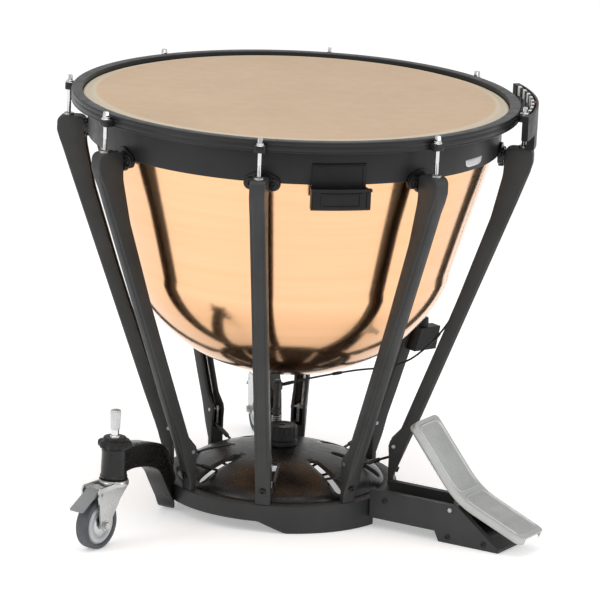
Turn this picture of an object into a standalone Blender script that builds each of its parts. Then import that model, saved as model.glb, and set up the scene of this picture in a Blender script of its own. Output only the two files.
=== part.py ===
"""A pedal timpano: copper bowl, head, hoop, eight struts, cast base, foot pedal and two casters.

Metres, +Z up. Everything is modelled about the drum's own upright axis, with the pedal towards -Y,
and hangs on one empty that stands on that axis. Radial shapes are drawn as (radius, height) outlines.
"""

import math

import bmesh
import bpy
import numpy as np
from mathutils import Matrix, Vector

# ---------------------------------------------------------------- driving dimensions
AXIS_X = 0.05112         # the drum's axis, from the middle of the whole part's box
AXIS_Y = 0.06855
GAP = 0.0003             # air between pieces that touch

STRUTS = 8
FIRST_STRUT = 22.5       # degrees; the pedal lies half way between two struts
STRUT_HALF = 0.015       # half of a strut's width across
POCKET_HALF = 0.0095     # half of the groove in a strut's inner side
STRUT_TOP = 0.7645

HOOP_OUTER = 0.4450
HOOP_INNER = 0.4237
HOOP_TOP = 0.8380
HOOP_BOTTOM = 0.8150
ROD_RADIUS_AT = 0.4565   # how far the tension rods stand from the axis
ROD_TOP = 0.8450
EAR_TOP = 0.8295

HEAD_TOP = 0.8345
HEAD_RADIUS = 0.4230
BOWL_RIM = 0.8315
BOWL_RADIUS = 0.4000
BOWL_WALL = 0.0025
BAND_OUTER = 0.4100
BAND_BOTTOM = 0.7480
BAND_TOP = 0.8080

RING_OUTER = 0.2350      # the base's lower ring
LEDGE = 0.0560           # the ring's top, which the struts' feet stand on
FOOT_INNER = 0.2200
SKIRT_BOTTOM = 0.0220
DOME_RADIUS = 0.2120
DOME_TOP = 0.1180
DOME_EDGE = 0.0500
DOME_SKIN = 0.0065

CRANK = (0.2290, 0.1360)     # the bell cranks' pins, radius and height
CRANK_OUT = 0.0120           # pin to pull strap
CRANK_DOWN = 0.0240          # pin to link rod
HUB_PIN = (0.0500, 0.0450)   # the link rods' inner pins on the crosshead
STRAP_LEAN = 0.3720          # outward run of a strut for each metre of height

CHANNEL_HALF = 0.0450
CHANNEL_TOP = 0.0780
TROUGH_HALF = 0.0310
TROUGH_FLOOR = 0.0255
PEDAL_PIVOT = (-0.4180, 0.0680)   # y and height
PEDAL_ARM = 0.0340
PEDAL_HALF = 0.0470
ROCKER_PIVOT = (-0.0750, 0.0620)
ROCKER_DOWN = 0.0280
ROCKER_ACROSS = 0.0470
EYE_HALF = 0.0095            # half the length of the holes that the arms' ends work in

CABLE_POST = (0.0360, 0.0360)

CASTERS = {"left": ((-0.4590, 0.1050), 175.0), "right": ((0.3810, 0.2680), 45.0)}
WHEEL_RADIUS = 0.0500
WHEEL_HALF = 0.0140
TRAIL = 0.0500               # how far the axle trails behind the swivel
FORK_TOP = 0.1315
SLEEVE = (0.1330, 0.1940)
STEM_RADIUS = 0.0100


# ---------------------------------------------------------------- modelling helpers
def clear_scene():
    for thing in list(bpy.data.objects):
        bpy.data.objects.remove(thing, do_unlink=True)


def obj_from(verts, faces):
    mesh = bpy.data.meshes.new("mesh")
    mesh.from_pydata([tuple(v) for v in verts], [], faces)
    bm = bmesh.new()
    bm.from_mesh(mesh)
    bmesh.ops.recalc_face_normals(bm, faces=bm.faces)
    bm.to_mesh(mesh)
    bm.free()
    thing = bpy.data.objects.new("piece", mesh)
    bpy.context.scene.collection.objects.link(thing)
    return thing


def turned(profile, segments, axis=(0.0, 0.0), start=0.0):
    """Turns a closed outline of (radius, height) points about an upright axis; radius 0 is a pole."""
    verts, rows = [], []
    for r, z in profile:
        if r < 1e-6:
            rows.append([len(verts)])
            verts.append((axis[0], axis[1], z))
            continue
        rows.append(list(range(len(verts), len(verts) + segments)))
        for k in range(segments):
            a = math.tau * (k + start) / segments
            verts.append((axis[0] + r * math.cos(a), axis[1] + r * math.sin(a), z))
    faces = []
    for low, high in zip(rows, rows[1:] + rows[:1]):
        if len(low) == 1 and len(high) == 1:
            continue
        for k in range(segments):
            n = (k + 1) % segments
            corners = [low[k % len(low)], low[n % len(low)], high[n % len(high)], high[k % len(high)]]
            faces.append(list(dict.fromkeys(corners)))
    return obj_from(verts, faces)


def prism(outline, low, high, place):
    """A flat outline of (a, b) points given thickness from low to high; place(a, b, t) gives x, y, z."""
    count = len(outline)
    verts = [place(a, b, low) for a, b in outline] + [place(a, b, high) for a, b in outline]
    faces = [list(range(count)), list(range(2 * count - 1, count - 1, -1))]
    faces += [[k, (k + 1) % count, count + (k + 1) % count, count + k] for k in range(count)]
    return obj_from(verts, faces)


def radial(azimuth):
    """place() for outlines of (radius, height) that stand on the given azimuth, t running round."""
    a = math.radians(azimuth)
    return lambda r, z, t: (r * math.cos(a) - t * math.sin(a), r * math.sin(a) + t * math.cos(a), z)


def side(y, z, x):
    """place() for outlines of (y, height) with their thickness along X."""
    return (x, y, z)


def flat(x, y, z):
    """place() for plan outlines of (x, y) with their thickness upwards."""
    return (x, y, z)


def arc(centre, radius, start, end, steps):
    """Points on an arc from start to end degrees."""
    angles = [math.radians(start + (end - start) * k / steps) for k in range(steps + 1)]
    return [(centre[0] + radius * math.cos(a), centre[1] + radius * math.sin(a)) for a in angles]


def box(low, high):
    corners = [(low[0], low[1]), (high[0], low[1]), (high[0], high[1]), (low[0], high[1])]
    return prism(corners, low[2], high[2], flat)


def rod(points, radius, sides=8, stretch=None):
    """A round bar along a bent line, mitred at each bend; stretch gives a width and a height instead."""
    points = [Vector(p) for p in points]
    first = (points[1] - points[0]).normalized()
    up = Vector((0, 0, 1)) if abs(first.z) < 0.9 else Vector((1, 0, 0))
    across = first.cross(up).normalized()
    upward = across.cross(first)
    if stretch:
        w, h = stretch[0] / 2, stretch[1] / 2
        offsets = [across * w + upward * h, upward * h - across * w,
                   -across * w - upward * h, across * w - upward * h]
    else:
        turns = [math.tau * k / sides for k in range(sides)]
        offsets = [across * math.cos(a) * radius + upward * math.sin(a) * radius for a in turns]
    verts = [points[0] + o for o in offsets]
    for k in range(1, len(points)):
        run = (points[k] - points[k - 1]).normalized()
        onward = (points[k + 1] - points[k]).normalized() if k + 1 < len(points) else run
        mitre = run + onward
        verts += [points[k] + o - run * (o.dot(mitre) / run.dot(mitre)) for o in offsets]
        met = [o - run * (o.dot(mitre) / run.dot(mitre)) for o in offsets]
        offsets = [m - onward * m.dot(onward) for m in met]
    n, rings = len(offsets), len(points)
    faces = [list(range(n)), list(range(rings * n - 1, (rings - 1) * n - 1, -1))]
    for k in range(rings - 1):
        faces += [[k * n + j, k * n + (j + 1) % n, (k + 1) * n + (j + 1) % n, (k + 1) * n + j]
                  for j in range(n)]
    return obj_from(verts, faces)


def combined(base, others, operation):
    """Applies a Boolean of each other piece to base, and removes the other pieces."""
    for other in others:
        step = base.modifiers.new("step", "BOOLEAN")
        step.operation = operation
        step.solver = "EXACT"
        step.object = other
    graph = bpy.context.evaluated_depsgraph_get()
    mesh = bpy.data.meshes.new_from_object(base.evaluated_get(graph))
    base.modifiers.clear()
    base.data = mesh
    for other in others:
        bpy.data.objects.remove(other, do_unlink=True)
    return base


def joined(base, *others):
    return combined(base, others, "UNION")


def cut(base, *others):
    return combined(base, others, "DIFFERENCE")


def keep(thing, name, colour, roughness, metallic, pivot=(0.0, 0.0, 0.0)):
    """Names a finished piece, gives it its material, and puts its origin on its pivot."""
    look = bpy.data.materials.new(name)
    look.use_nodes = True
    shader = look.node_tree.nodes["Principled BSDF"]
    shader.inputs["Base Color"].default_value = (*colour, 1.0)
    shader.inputs["Roughness"].default_value = roughness
    shader.inputs["Metallic"].default_value = metallic
    thing.data.materials.clear()
    thing.data.materials.append(look)
    thing.name = name
    if thing.type == "MESH":
        thing.data.transform(Matrix.Translation(-Vector(pivot)))
        thing.data.shade_smooth()
        thing.data.set_sharp_from_angle(angle=math.radians(35))
    thing.location = pivot
    thing.parent = bpy.data.objects["drum_axis"]
    return thing


BLACK = ((0.018, 0.018, 0.019), 0.42, 0.0)
CHARCOAL = ((0.035, 0.037, 0.040), 0.5, 0.3)
CHROME = ((0.80, 0.80, 0.81), 0.12, 1.0)
STEEL = ((0.52, 0.52, 0.53), 0.35, 1.0)
COPPER = ((0.86, 0.42, 0.25), 0.16, 1.0)
ALUMINIUM = ((0.70, 0.70, 0.71), 0.38, 1.0)
FILM = ((0.80, 0.69, 0.57), 0.45, 0.0)
RED = ((0.70, 0.03, 0.03), 0.4, 0.0)
GREY = ((0.30, 0.31, 0.32), 0.5, 0.0)

AZIMUTHS = [FIRST_STRUT + 360 / STRUTS * k for k in range(STRUTS)]


# ---------------------------------------------------------------- shell and head
def bowl():
    """A straight taper from the rim down to a shoulder, then a round bottom with a vent hole."""
    taper = [(BOWL_RADIUS, BOWL_RIM), (BOWL_RADIUS, 0.750), (0.377, 0.676), (0.350, 0.588), (0.324, 0.500)]
    bottom_rise, shoulder, vent = 0.220, 0.324, 0.012
    for k in range(1, 8):
        a = math.radians(90 * k / 8)
        taper.append((shoulder * math.cos(a) ** 0.84, 0.500 - bottom_rise * math.sin(a) ** 1.4))
    outer = taper + [(vent, 0.280)]
    inner = [(vent, 0.280 + BOWL_WALL)]
    inner += [(r - BOWL_WALL * 0.8, z + BOWL_WALL * 0.6) for r, z in reversed(taper[1:])]
    inner += [(BOWL_RADIUS - BOWL_WALL, BOWL_RIM)]
    keep(turned(outer + inner, 40), "bowl", *COPPER)


def drum_head():
    """The skin, stretched over the bowl's rim and out to the hoop."""
    thick, edge = 0.0025, 0.0015
    outline = [(0, HEAD_TOP), (HEAD_RADIUS - edge, HEAD_TOP), (HEAD_RADIUS, HEAD_TOP - edge),
               (HEAD_RADIUS, HEAD_TOP - thick), (0, HEAD_TOP - thick)]
    keep(turned(outline, 56), "drum_head", *FILM)


def counter_hoop():
    """The steel hoop with an ear, bored for a tension rod, over each strut."""
    lip = 0.003
    outline = [(HOOP_INNER + lip, HOOP_TOP), (HOOP_OUTER - lip, HOOP_TOP), (HOOP_OUTER, HOOP_TOP - lip),
               (HOOP_OUTER, HOOP_BOTTOM), (HOOP_INNER, HOOP_BOTTOM), (HOOP_INNER, HOOP_TOP - lip)]
    hoop = turned(outline, 72)
    ears = [prism([(0.4400, HOOP_BOTTOM + 0.0005), (0.4650, HOOP_BOTTOM + 0.0005), (0.4650, EAR_TOP),
                   (0.4400, EAR_TOP)], -0.0115, 0.0115, radial(a)) for a in AZIMUTHS]
    joined(hoop, *ears)
    bore = [(0, 0.80), (0.0052, 0.80), (0.0052, 0.86), (0, 0.86)]
    holes = [turned(bore, 8, radial(a)(ROD_RADIUS_AT, 0, 0)[:2]) for a in AZIMUTHS]
    keep(cut(hoop, *holes), "counter_hoop", *BLACK)


def bearing_ring():
    """The ring round the bowl's rim, with a boss that meets the top of each strut."""
    ring = turned([(BAND_OUTER, BAND_TOP), (BAND_OUTER, BAND_BOTTOM), (BOWL_RADIUS + 0.0008, BAND_BOTTOM),
                   (BOWL_RADIUS + 0.0008, BAND_TOP)], 72)
    bosses = []
    for a in AZIMUTHS:
        place = radial(a)
        bosses.append(rod([place(0.4045, 0.742, 0), place(0.4195, 0.742, 0)], 0.0200, 12))
    keep(joined(ring, *bosses), "bearing_ring", *BLACK)


def tension_rod(index, azimuth):
    """A square-headed rod through the hoop's ear, and the flat strap that it pulls inside the strut."""
    place = radial(azimuth)
    centre = place(ROD_RADIUS_AT, 0, 0)[:2]
    top, bottom, thick = ROD_TOP - 0.001, 0.700, 0.0045
    spindle = turned([(0, top), (thick, top), (thick, bottom), (0, bottom)], 10, centre)
    square = [(-0.0075, EAR_TOP + GAP), (0.0075, EAR_TOP + GAP), (0.0060, ROD_TOP), (-0.0060, ROD_TOP)]
    head = prism([(ROD_RADIUS_AT + a, b) for a, b in square], -0.0070, 0.0070, place)
    foot_r, foot_z = CRANK[0] + CRANK_OUT, CRANK[1]
    top_r, top_z = foot_r + (0.712 - foot_z) * STRAP_LEAN, 0.712
    half = 0.0042
    outline = [(foot_r - half, foot_z), (foot_r, foot_z - half), (foot_r + half, foot_z),
               (top_r + half, top_z), (top_r - half, top_z)]
    strap = prism(outline, -0.0078, -0.0036, place)
    pin = rod([place(foot_r, foot_z, -0.0050), place(foot_r, foot_z, 0.0020)], 0.0025, 6)
    keep(joined(spindle, head, strap, pin), f"tension_rod_{index}", *CHROME)


# ---------------------------------------------------------------- struts and linkage
def strut(index, azimuth):
    """A leaning casting, grooved on its inner side for the strap, crank and link rod."""
    place = radial(azimuth)
    outer = [(0.2320, LEDGE + 0.0005), (0.2320, 0.0750), (0.2825, 0.2030), (0.4510, 0.6550), (0.4725, 0.7150),
             (0.4775, 0.7350)]
    crown = arc((0.4635, 0.7505), 0.0140, 0, 90, 3)
    inner = arc((0.4345, 0.7505), 0.0140, 90, 180, 3)
    inner += [(0.4205, 0.7250), (0.4195, 0.7080), (0.4000, 0.6220), (0.3465, 0.4610), (0.3180, 0.3810),
              (0.2400, 0.1680), (0.2215, 0.1470), (0.2180, 0.1350), (FOOT_INNER, 0.1200),
              (FOOT_INNER, LEDGE + 0.0005)]
    body = prism(outer + crown + inner, -STRUT_HALF, STRUT_HALF, place)
    groove = prism([(0.1900, 0.1000), (0.2365, 0.1000), (0.2770, 0.2030), (0.4455, 0.6550), (0.4665, 0.7220),
                    (0.3800, 0.7220), (0.3000, 0.4800)], -POCKET_HALF, POCKET_HALF, place)
    bore = [(0, 0.690), (0.0065, 0.690), (0.0065, 0.780), (0, 0.780)]
    well = turned(bore, 8, place(ROD_RADIUS_AT, 0, 0)[:2])
    pin_hole = rod([place(*CRANK, -0.02), place(*CRANK, 0.02)], 0.0047, 8)
    keep(cut(body, groove, well, pin_hole), f"strut_{index}", *CHARCOAL)


def bell_crank(index, azimuth):
    """A plate on a cross pin: one fork holds the strap, the other, pointing down, the link rod."""
    place = radial(azimuth)
    r, z = CRANK
    fork, out, down = 0.0034, 0.0175, 0.0300
    outline = [(-0.0062, 0.0075), (0.0060, 0.0075), (out, 0.0066), (out, fork), (0.0082, fork),
               (0.0082, -fork), (out, -fork), (out, -0.0066), (0.0075, -0.0085), (0.0075, -down),
               (0.0040, -down), (0.0040, -0.0195), (-0.0040, -0.0195), (-0.0040, -down), (-0.0075, -down),
               (-0.0075, -0.0020)]
    plate = prism([(r + a, z + b) for a, b in outline], -0.0025, 0.0025, place)
    pin = rod([place(r, z, -0.0165), place(r, z, 0.0165)], 0.0040)
    keep(joined(plate, pin), f"bell_crank_{index}", *STEEL, pivot=place(r, z, 0))


def link_rod(index, azimuth):
    """A bent wire rod: its two cross ends hook into the crosshead and into the bell crank."""
    place = radial(azimuth)
    foot = (CRANK[0], CRANK[1] - CRANK_DOWN)
    beside, through = 0.0061, -0.0036
    points = [place(*HUB_PIN, through), place(*HUB_PIN, beside), place(*foot, beside), place(*foot, through)]
    keep(rod(points, 0.0028, 6), f"link_rod_{index}", *BLACK, pivot=place(*HUB_PIN, 0))


def crosshead():
    """The hub that slides on the centre stud, with a bored lug for each link rod."""
    r, z = HUB_PIN
    low, high = z - 0.006, z + 0.006
    hub = turned([(0.0075, low), (0.0360, low), (0.0360, high), (0.0075, high)], 24)
    lugs = [prism([(0.030, z - 0.005), (r + 0.0060, z - 0.005), (r + 0.0060, z + 0.005), (0.030, z + 0.005)],
                  -0.0025, 0.0025, radial(a)) for a in AZIMUTHS]
    joined(hub, *lugs)
    holes = [rod([radial(a)(r, z, -0.01), radial(a)(r, z, 0.01)], 0.0034, 6) for a in AZIMUTHS]
    keep(cut(hub, *holes), "crosshead", *STEEL, pivot=(0, 0, z))


def rocker():
    """The bell crank in the middle: the pedal rod pulls its lower arm and the other presses the hub."""
    y, z = ROCKER_PIVOT
    tip_z = HUB_PIN[1] + 0.006 + 0.0005 + 0.006
    down = arc((y, z - ROCKER_DOWN), 0.006, 180, 360, 6)
    tip = arc((y + ROCKER_ACROSS, tip_z), 0.006, -90, 90, 6)
    outline = [(y - 0.004, z - 0.008)] + down + [(y + 0.004, z - 0.012), (y + 0.010, z - 0.007)]
    outline += tip + [(y + 0.004, z + 0.008), (y - 0.007, z + 0.006)]
    plate = prism(outline, -0.005, 0.005, side)
    pin = rod([(-0.0125, y, z), (0.0125, y, z)], 0.0040, 12)
    keep(joined(plate, pin), "rocker", *STEEL, pivot=(0, y, z))


# ---------------------------------------------------------------- base and pedal
def stem_bore(sleeve):
    """The cutter for the hole that a caster's stem slides in."""
    radius, low, high = STEM_RADIUS + 0.0005, 0.10, 0.23
    return turned([(0, low), (radius, low), (radius, high), (0, high)], 20, sleeve)


def caster_arm(side_name, heading, reach):
    """A flat-sided arm that curves up from the ring's wall and out to the sleeve of a caster stem."""
    sleeve = CASTERS[side_name][0]
    a, stretch = math.radians(heading), reach / 0.275

    def place(p, z, t):
        along = p * stretch
        return (sleeve[0] + along * math.cos(a) - t * math.sin(a),
                sleeve[1] + along * math.sin(a) + t * math.cos(a), z)

    under = [(0.000, 0.1410), (0.050, 0.1400), (0.110, 0.1290), (0.150, 0.1170), (0.182, 0.1000),
             (0.210, 0.0680), (0.243, 0.0300), (0.262, 0.0060), (0.300, 0.0060)]
    over = [(0.300, 0.0640), (0.264, 0.0700), (0.247, 0.0900), (0.230, 0.1200), (0.210, 0.1460),
            (0.177, 0.1620), (0.110, 0.1790), (0.045, 0.1900), (0.000, 0.1900)]
    arm = prism(under + over, -0.019, 0.019, place)
    low, high = SLEEVE
    joined(arm, turned([(0, low), (0.0270, low), (0.0240, high), (0, high)], 24, sleeve))
    seat = turned([(0, -0.01), (RING_OUTER + GAP, -0.01), (RING_OUTER + GAP, 0.12), (0, 0.12)], 64, start=0.3)
    keep(cut(arm, seat, stem_bore(sleeve)), f"caster_arm_{side_name}", *BLACK)


def dome_line(edge, top):
    """Points of a dome from its middle outwards, steeper and steeper towards its edge."""
    radii = [edge * share for share in (0, 0.20, 0.38, 0.54, 0.68, 0.79, 0.88, 0.94, 0.98)]
    return [(r, DOME_EDGE + (top - DOME_EDGE) * (1 - (r / edge) ** 2.1) ** 0.625) for r in radii]


def base_casting():
    """The ring with its front feet, the slotted dome, the centre stud and the gauge cable's post."""
    dome = dome_line(DOME_RADIUS, DOME_TOP)
    under = dome_line(DOME_RADIUS - DOME_SKIN, DOME_TOP - DOME_SKIN)[::-1]
    ring = [(DOME_RADIUS - 0.002, LEDGE), (RING_OUTER, LEDGE), (RING_OUTER, SKIRT_BOTTOM),
            (0.2250, SKIRT_BOTTOM), (0.2250, LEDGE - 0.0075), (DOME_RADIUS - DOME_SKIN, LEDGE - 0.0075)]
    outline = dome + ring + under
    body = turned(outline, 48, start=0.5)
    extras = []
    for start, end in ((-146, -98), (-82, -34)):
        rim = arc((0, 0), RING_OUTER - 0.0007, start, end, 8) + arc((0, 0), 0.2120, end, start, 8)
        extras.append(prism(rim, 0.0, SKIRT_BOTTOM + 0.004, flat))
    extras.append(turned([(0, 0.012), (0.0060, 0.012), (0.0060, 0.157), (0, 0.157)], 16, start=0.2))
    extras.append(turned([(0, 0.1125), (0.0210, 0.1125), (0.0190, 0.1190), (0, 0.1190)], 24, start=0.3))
    y, z = ROCKER_PIVOT
    for x in (-0.0125, 0.0085):
        ear = prism([(y - 0.008, z - 0.009), (y + 0.008, z - 0.009), (y + 0.010, 0.108), (y - 0.010, 0.106)],
                    x, x + 0.004, side)
        extras.append(ear)
    x, y = CABLE_POST
    extras.append(box((x - 0.012, y - 0.012, 0.1050), (x + 0.012, y + 0.012, 0.1260)))
    extras.append(box((x - 0.0055, y - 0.0055, 0.1200), (x + 0.0055, y + 0.0055, 0.2400)))
    joined(body, *extras)
    slot = [(0.1000, 0.050), (0.2030, 0.050), (0.2030, 0.150), (0.1000, 0.150)]
    slots = [prism(slot, -0.011, 0.011, radial(a)) for a in AZIMUTHS]
    rod_way = box((-0.026, -0.250, 0.020), (0.026, -0.190, 0.0480))
    y, z = ROCKER_PIVOT
    rocker_bore = rod([(-0.02, y, z), (0.02, y, z)], 0.0043, 12)
    keep(cut(body, rod_way, rocker_bore, *slots), "base_casting", *BLACK)


def pedal_channel():
    """The front outrigger: a troughed casting that ends in a foot under the heel of the pedal."""
    back = -RING_OUTER - 0.0008
    outline = [(back, CHANNEL_TOP), (-0.435, CHANNEL_TOP), (-0.530, 0.006), (-0.530, 0.0), (-0.395, 0.0),
               (-0.385, 0.020), (back, 0.020)]
    body = prism(outline, -CHANNEL_HALF, CHANNEL_HALF, side)
    trough = box((-TROUGH_HALF, -0.60, TROUGH_FLOOR), (TROUGH_HALF, -0.20, 0.20))
    y, z = PEDAL_PIVOT
    bore = rod([(-0.06, y, z), (0.06, y, z)], 0.0051, 14)
    keep(cut(body, trough, bore), "pedal_channel", *BLACK)


def pedal():
    """The cast footplate with skirts, its pivot pin, and the arm below that pulls the pedal rod."""
    y, z = PEDAL_PIVOT
    heel, bend, toe = (-0.584, 0.041), (-0.439, 0.100), (-0.330, 0.232)
    thick, roof, wall = 0.018, 0.007, 0.005

    def below(point, slope, depth):
        length = math.hypot(1, slope)
        return (point[0] + depth * slope / length, point[1] - depth / length)

    def meeting(depth):
        """Where the two undersides meet below the bend, at the given depth."""
        rear, front = 0.4069, 1.2110
        a, b = below(bend, rear, depth), below(bend, front, depth)
        crossing = (b[1] - a[1] + rear * a[0] - front * b[0]) / (rear - front)
        return (crossing, a[1] + rear * (crossing - a[0]))

    outline = [heel, bend, toe, below(toe, 1.2110, thick), meeting(thick), below(heel, 0.4069, thick)]
    body = prism(outline, -PEDAL_HALF, PEDAL_HALF, side)
    rear_cut, front_cut = below(heel, 0.4069, roof), below(toe, 1.2110, roof)
    rear_low, front_low = below(heel, 0.4069, 0.06), below(toe, 1.2110, 0.06)
    hollow = prism([(rear_cut[0] + 0.006, rear_cut[1] + 0.0024), meeting(roof),
                    (front_cut[0] - 0.004, front_cut[1] - 0.0048), (front_low[0], front_low[1] - 0.006),
                    meeting(0.04), (rear_low[0] + 0.006, rear_low[1])],
                   wall - PEDAL_HALF, PEDAL_HALF - wall, side)
    cut(body, hollow)
    tail = arc((y, z - PEDAL_ARM), 0.0070, 180, 360, 6)
    arm = [(y - 0.012, z + 0.036), (y - 0.0095, z), (y - 0.0045, z - 0.012)] + tail
    arm += [(y + 0.0045, z - 0.012), (y + 0.0095, z), (y + 0.012, z + 0.065)]
    lug = prism(arm, -0.012, 0.012, side)
    pin = rod([(-0.0446, y, z), (0.0446, y, z)], 0.0048, 14)
    keep(joined(body, lug, pin), "pedal", *ALUMINIUM, pivot=(0, y, z))


def pedal_rod():
    """A pull rod along the trough, with a square eye at each end for the arms that work it."""
    z = PEDAL_PIVOT[1] - PEDAL_ARM
    ends = ((PEDAL_PIVOT[0], 0.0130), (ROCKER_PIVOT[0], 0.0062))
    start = ends[0][0] + EYE_HALF + 0.003
    finish = ends[1][0] - EYE_HALF - 0.003
    body = rod([(0, start, z), (0, finish, z)], 0.0040, 10)
    eyes, holes = [], []
    wall, tall = 0.0050, 0.0060
    for y, half in ends:
        wide, long = half + wall, EYE_HALF + wall
        eyes.append(box((-wide, y - long, z - tall), (wide, y + long, z + tall)))
        holes.append(box((-half, y - EYE_HALF, z - 0.02), (half, y + EYE_HALF, z + 0.02)))
    joined(body, *eyes)
    keep(cut(body, *holes), "pedal_rod", *STEEL, pivot=(0, PEDAL_PIVOT[0], z))


def tension_knob():
    """The fluted knob on the centre stud."""
    flutes, radius, low, high = 16, 0.0310, 0.1195, 0.1600
    rim = []
    for k in range(flutes * 2):
        a = math.tau * k / (flutes * 2)
        r = radius if k % 2 else radius - 0.0012
        rim.append((r * math.cos(a), r * math.sin(a)))
    body = prism(rim, low, high, flat)
    bore = turned([(0, 0.11), (0.0064, 0.11), (0.0064, 0.1575), (0, 0.1575)], 16)
    keep(cut(body, bore), "tension_knob", *BLACK, pivot=(0, 0, low))


# ---------------------------------------------------------------- gauge, handle and small fittings
GAUGE_INNER = 0.4670
GAUGE_OUTER = 0.4800
GAUGE_SPAN = (-78.0, -38.0)
GAUGE_TOP = 0.8440
POINTER_AT = -60.0

CABLE_ROUTE = [(0.0440, 0.0300, 0.2280), (0.1050, -0.0060, 0.2360), (0.1800, -0.0560, 0.2440),
               (0.2340, -0.1180, 0.2540), (0.2440, -0.1740, 0.2900), (0.2420, -0.2400, 0.3700),
               (0.2380, -0.3000, 0.5000), (0.2330, -0.3480, 0.6300), (0.2310, -0.3800, 0.7200),
               (0.2310, -0.3960, 0.7800), (0.2327, -0.4022, 0.8060)]
CABLE_RADIUS = 0.0020


def sector(inner, outer, start, end, low, high, steps):
    """A slab of ring between two azimuths."""
    plan = arc((0, 0), outer, start, end, steps) + arc((0, 0), inner, end, start, steps)
    return prism(plan, low, high, flat)


def gauge_housing():
    """A curved case outside the hoop, slotted along its top for the pointer, on a foot on one strut."""
    body = sector(GAUGE_INNER, GAUGE_OUTER, *GAUGE_SPAN, 0.7950, GAUGE_TOP, 14)
    foot = sector(0.4640, GAUGE_OUTER, -70.5, -64.5, STRUT_TOP + GAP, 0.7970, 3)
    joined(body, foot)
    slot = sector(0.4715, 0.4755, GAUGE_SPAN[0] + 3, GAUGE_SPAN[1] - 3, 0.8290, 0.86, 12)
    keep(cut(body, slot), "gauge_housing", *BLACK)


def gauge_pointer():
    """The red marker that travels along the slot."""
    blade = sector(0.4722, 0.4748, POINTER_AT - 0.5, POINTER_AT + 0.5, 0.8300, 0.8448, 1)
    keep(blade, "gauge_pointer", *RED)


def smooth_route(points, spacing):
    """Points a fixed distance apart on a Catmull-Rom curve through the given ones."""
    p = np.array(points)
    p = np.vstack([2 * p[0] - p[1], p, 2 * p[-1] - p[-2]])
    fine = []
    for k in range(1, len(p) - 2):
        for u in np.arange(0, 1, 0.05):
            a = 2 * p[k] + (p[k + 1] - p[k - 1]) * u
            b = (2 * p[k - 1] - 5 * p[k] + 4 * p[k + 1] - p[k + 2]) * u * u
            c = (3 * p[k] - p[k - 1] - 3 * p[k + 1] + p[k + 2]) * u ** 3
            fine.append(0.5 * (a + b + c))
    fine.append(p[-2])
    fine = np.array(fine)
    run = np.concatenate([[0], np.cumsum(np.linalg.norm(np.diff(fine, axis=0), axis=1))])
    at = np.linspace(0, run[-1], max(2, round(run[-1] / spacing)))
    return np.stack([np.interp(at, run, fine[:, k]) for k in range(3)], axis=1)


def gauge_cable():
    """The sheathed cable from the centre post, past one strut and up to the gauge."""
    curve = bpy.data.curves.new("gauge_cable", "CURVE")
    curve.dimensions = "3D"
    curve.bevel_depth = CABLE_RADIUS
    curve.bevel_resolution = 2
    curve.use_fill_caps = True
    route = smooth_route(CABLE_ROUTE, 0.0170)
    spline = curve.splines.new("POLY")
    spline.points.add(len(route) - 1)
    for point, place in zip(spline.points, route):
        point.co = (*place, 1.0)
    thing = bpy.data.objects.new("gauge_cable", curve)
    bpy.context.scene.collection.objects.link(thing)
    keep(thing, "gauge_cable", *BLACK)


def carry_handle():
    """A hanging tray on the band, curved like it and open above for the fingers."""
    inner, outer, low, lip, high, wall = BAND_OUTER + 0.0008, 0.4400, 0.7030, 0.7440, 0.7900, 0.0050
    start, end, cheek = -144.6, -129.4, 0.7
    tray = sector(inner, outer, start, end, low, lip, 8)
    back = sector(inner + 0.0002, inner + wall, start + 0.3, end - 0.3, low + 0.002, high, 7)
    recess = sector(inner + wall, outer - wall, start + cheek, end - cheek, low + wall, high + 0.01, 6)
    keep(cut(joined(tray, back), recess), "carry_handle", *BLACK)


def adjuster_box():
    """A small housing with a knob, on the side of one strut."""
    place = radial(-22.5)
    outline = [(0.2950, 0.2850), (0.3500, 0.2850), (0.3600, 0.3320), (0.3100, 0.3320)]
    body = prism(outline, -0.0440, -0.0154, place)
    knob = rod([place(0.3260, 0.325, -0.030), place(0.3260, 0.350, -0.030)], 0.0085, 14)
    keep(joined(body, knob), "adjuster_box", *BLACK)


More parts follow.
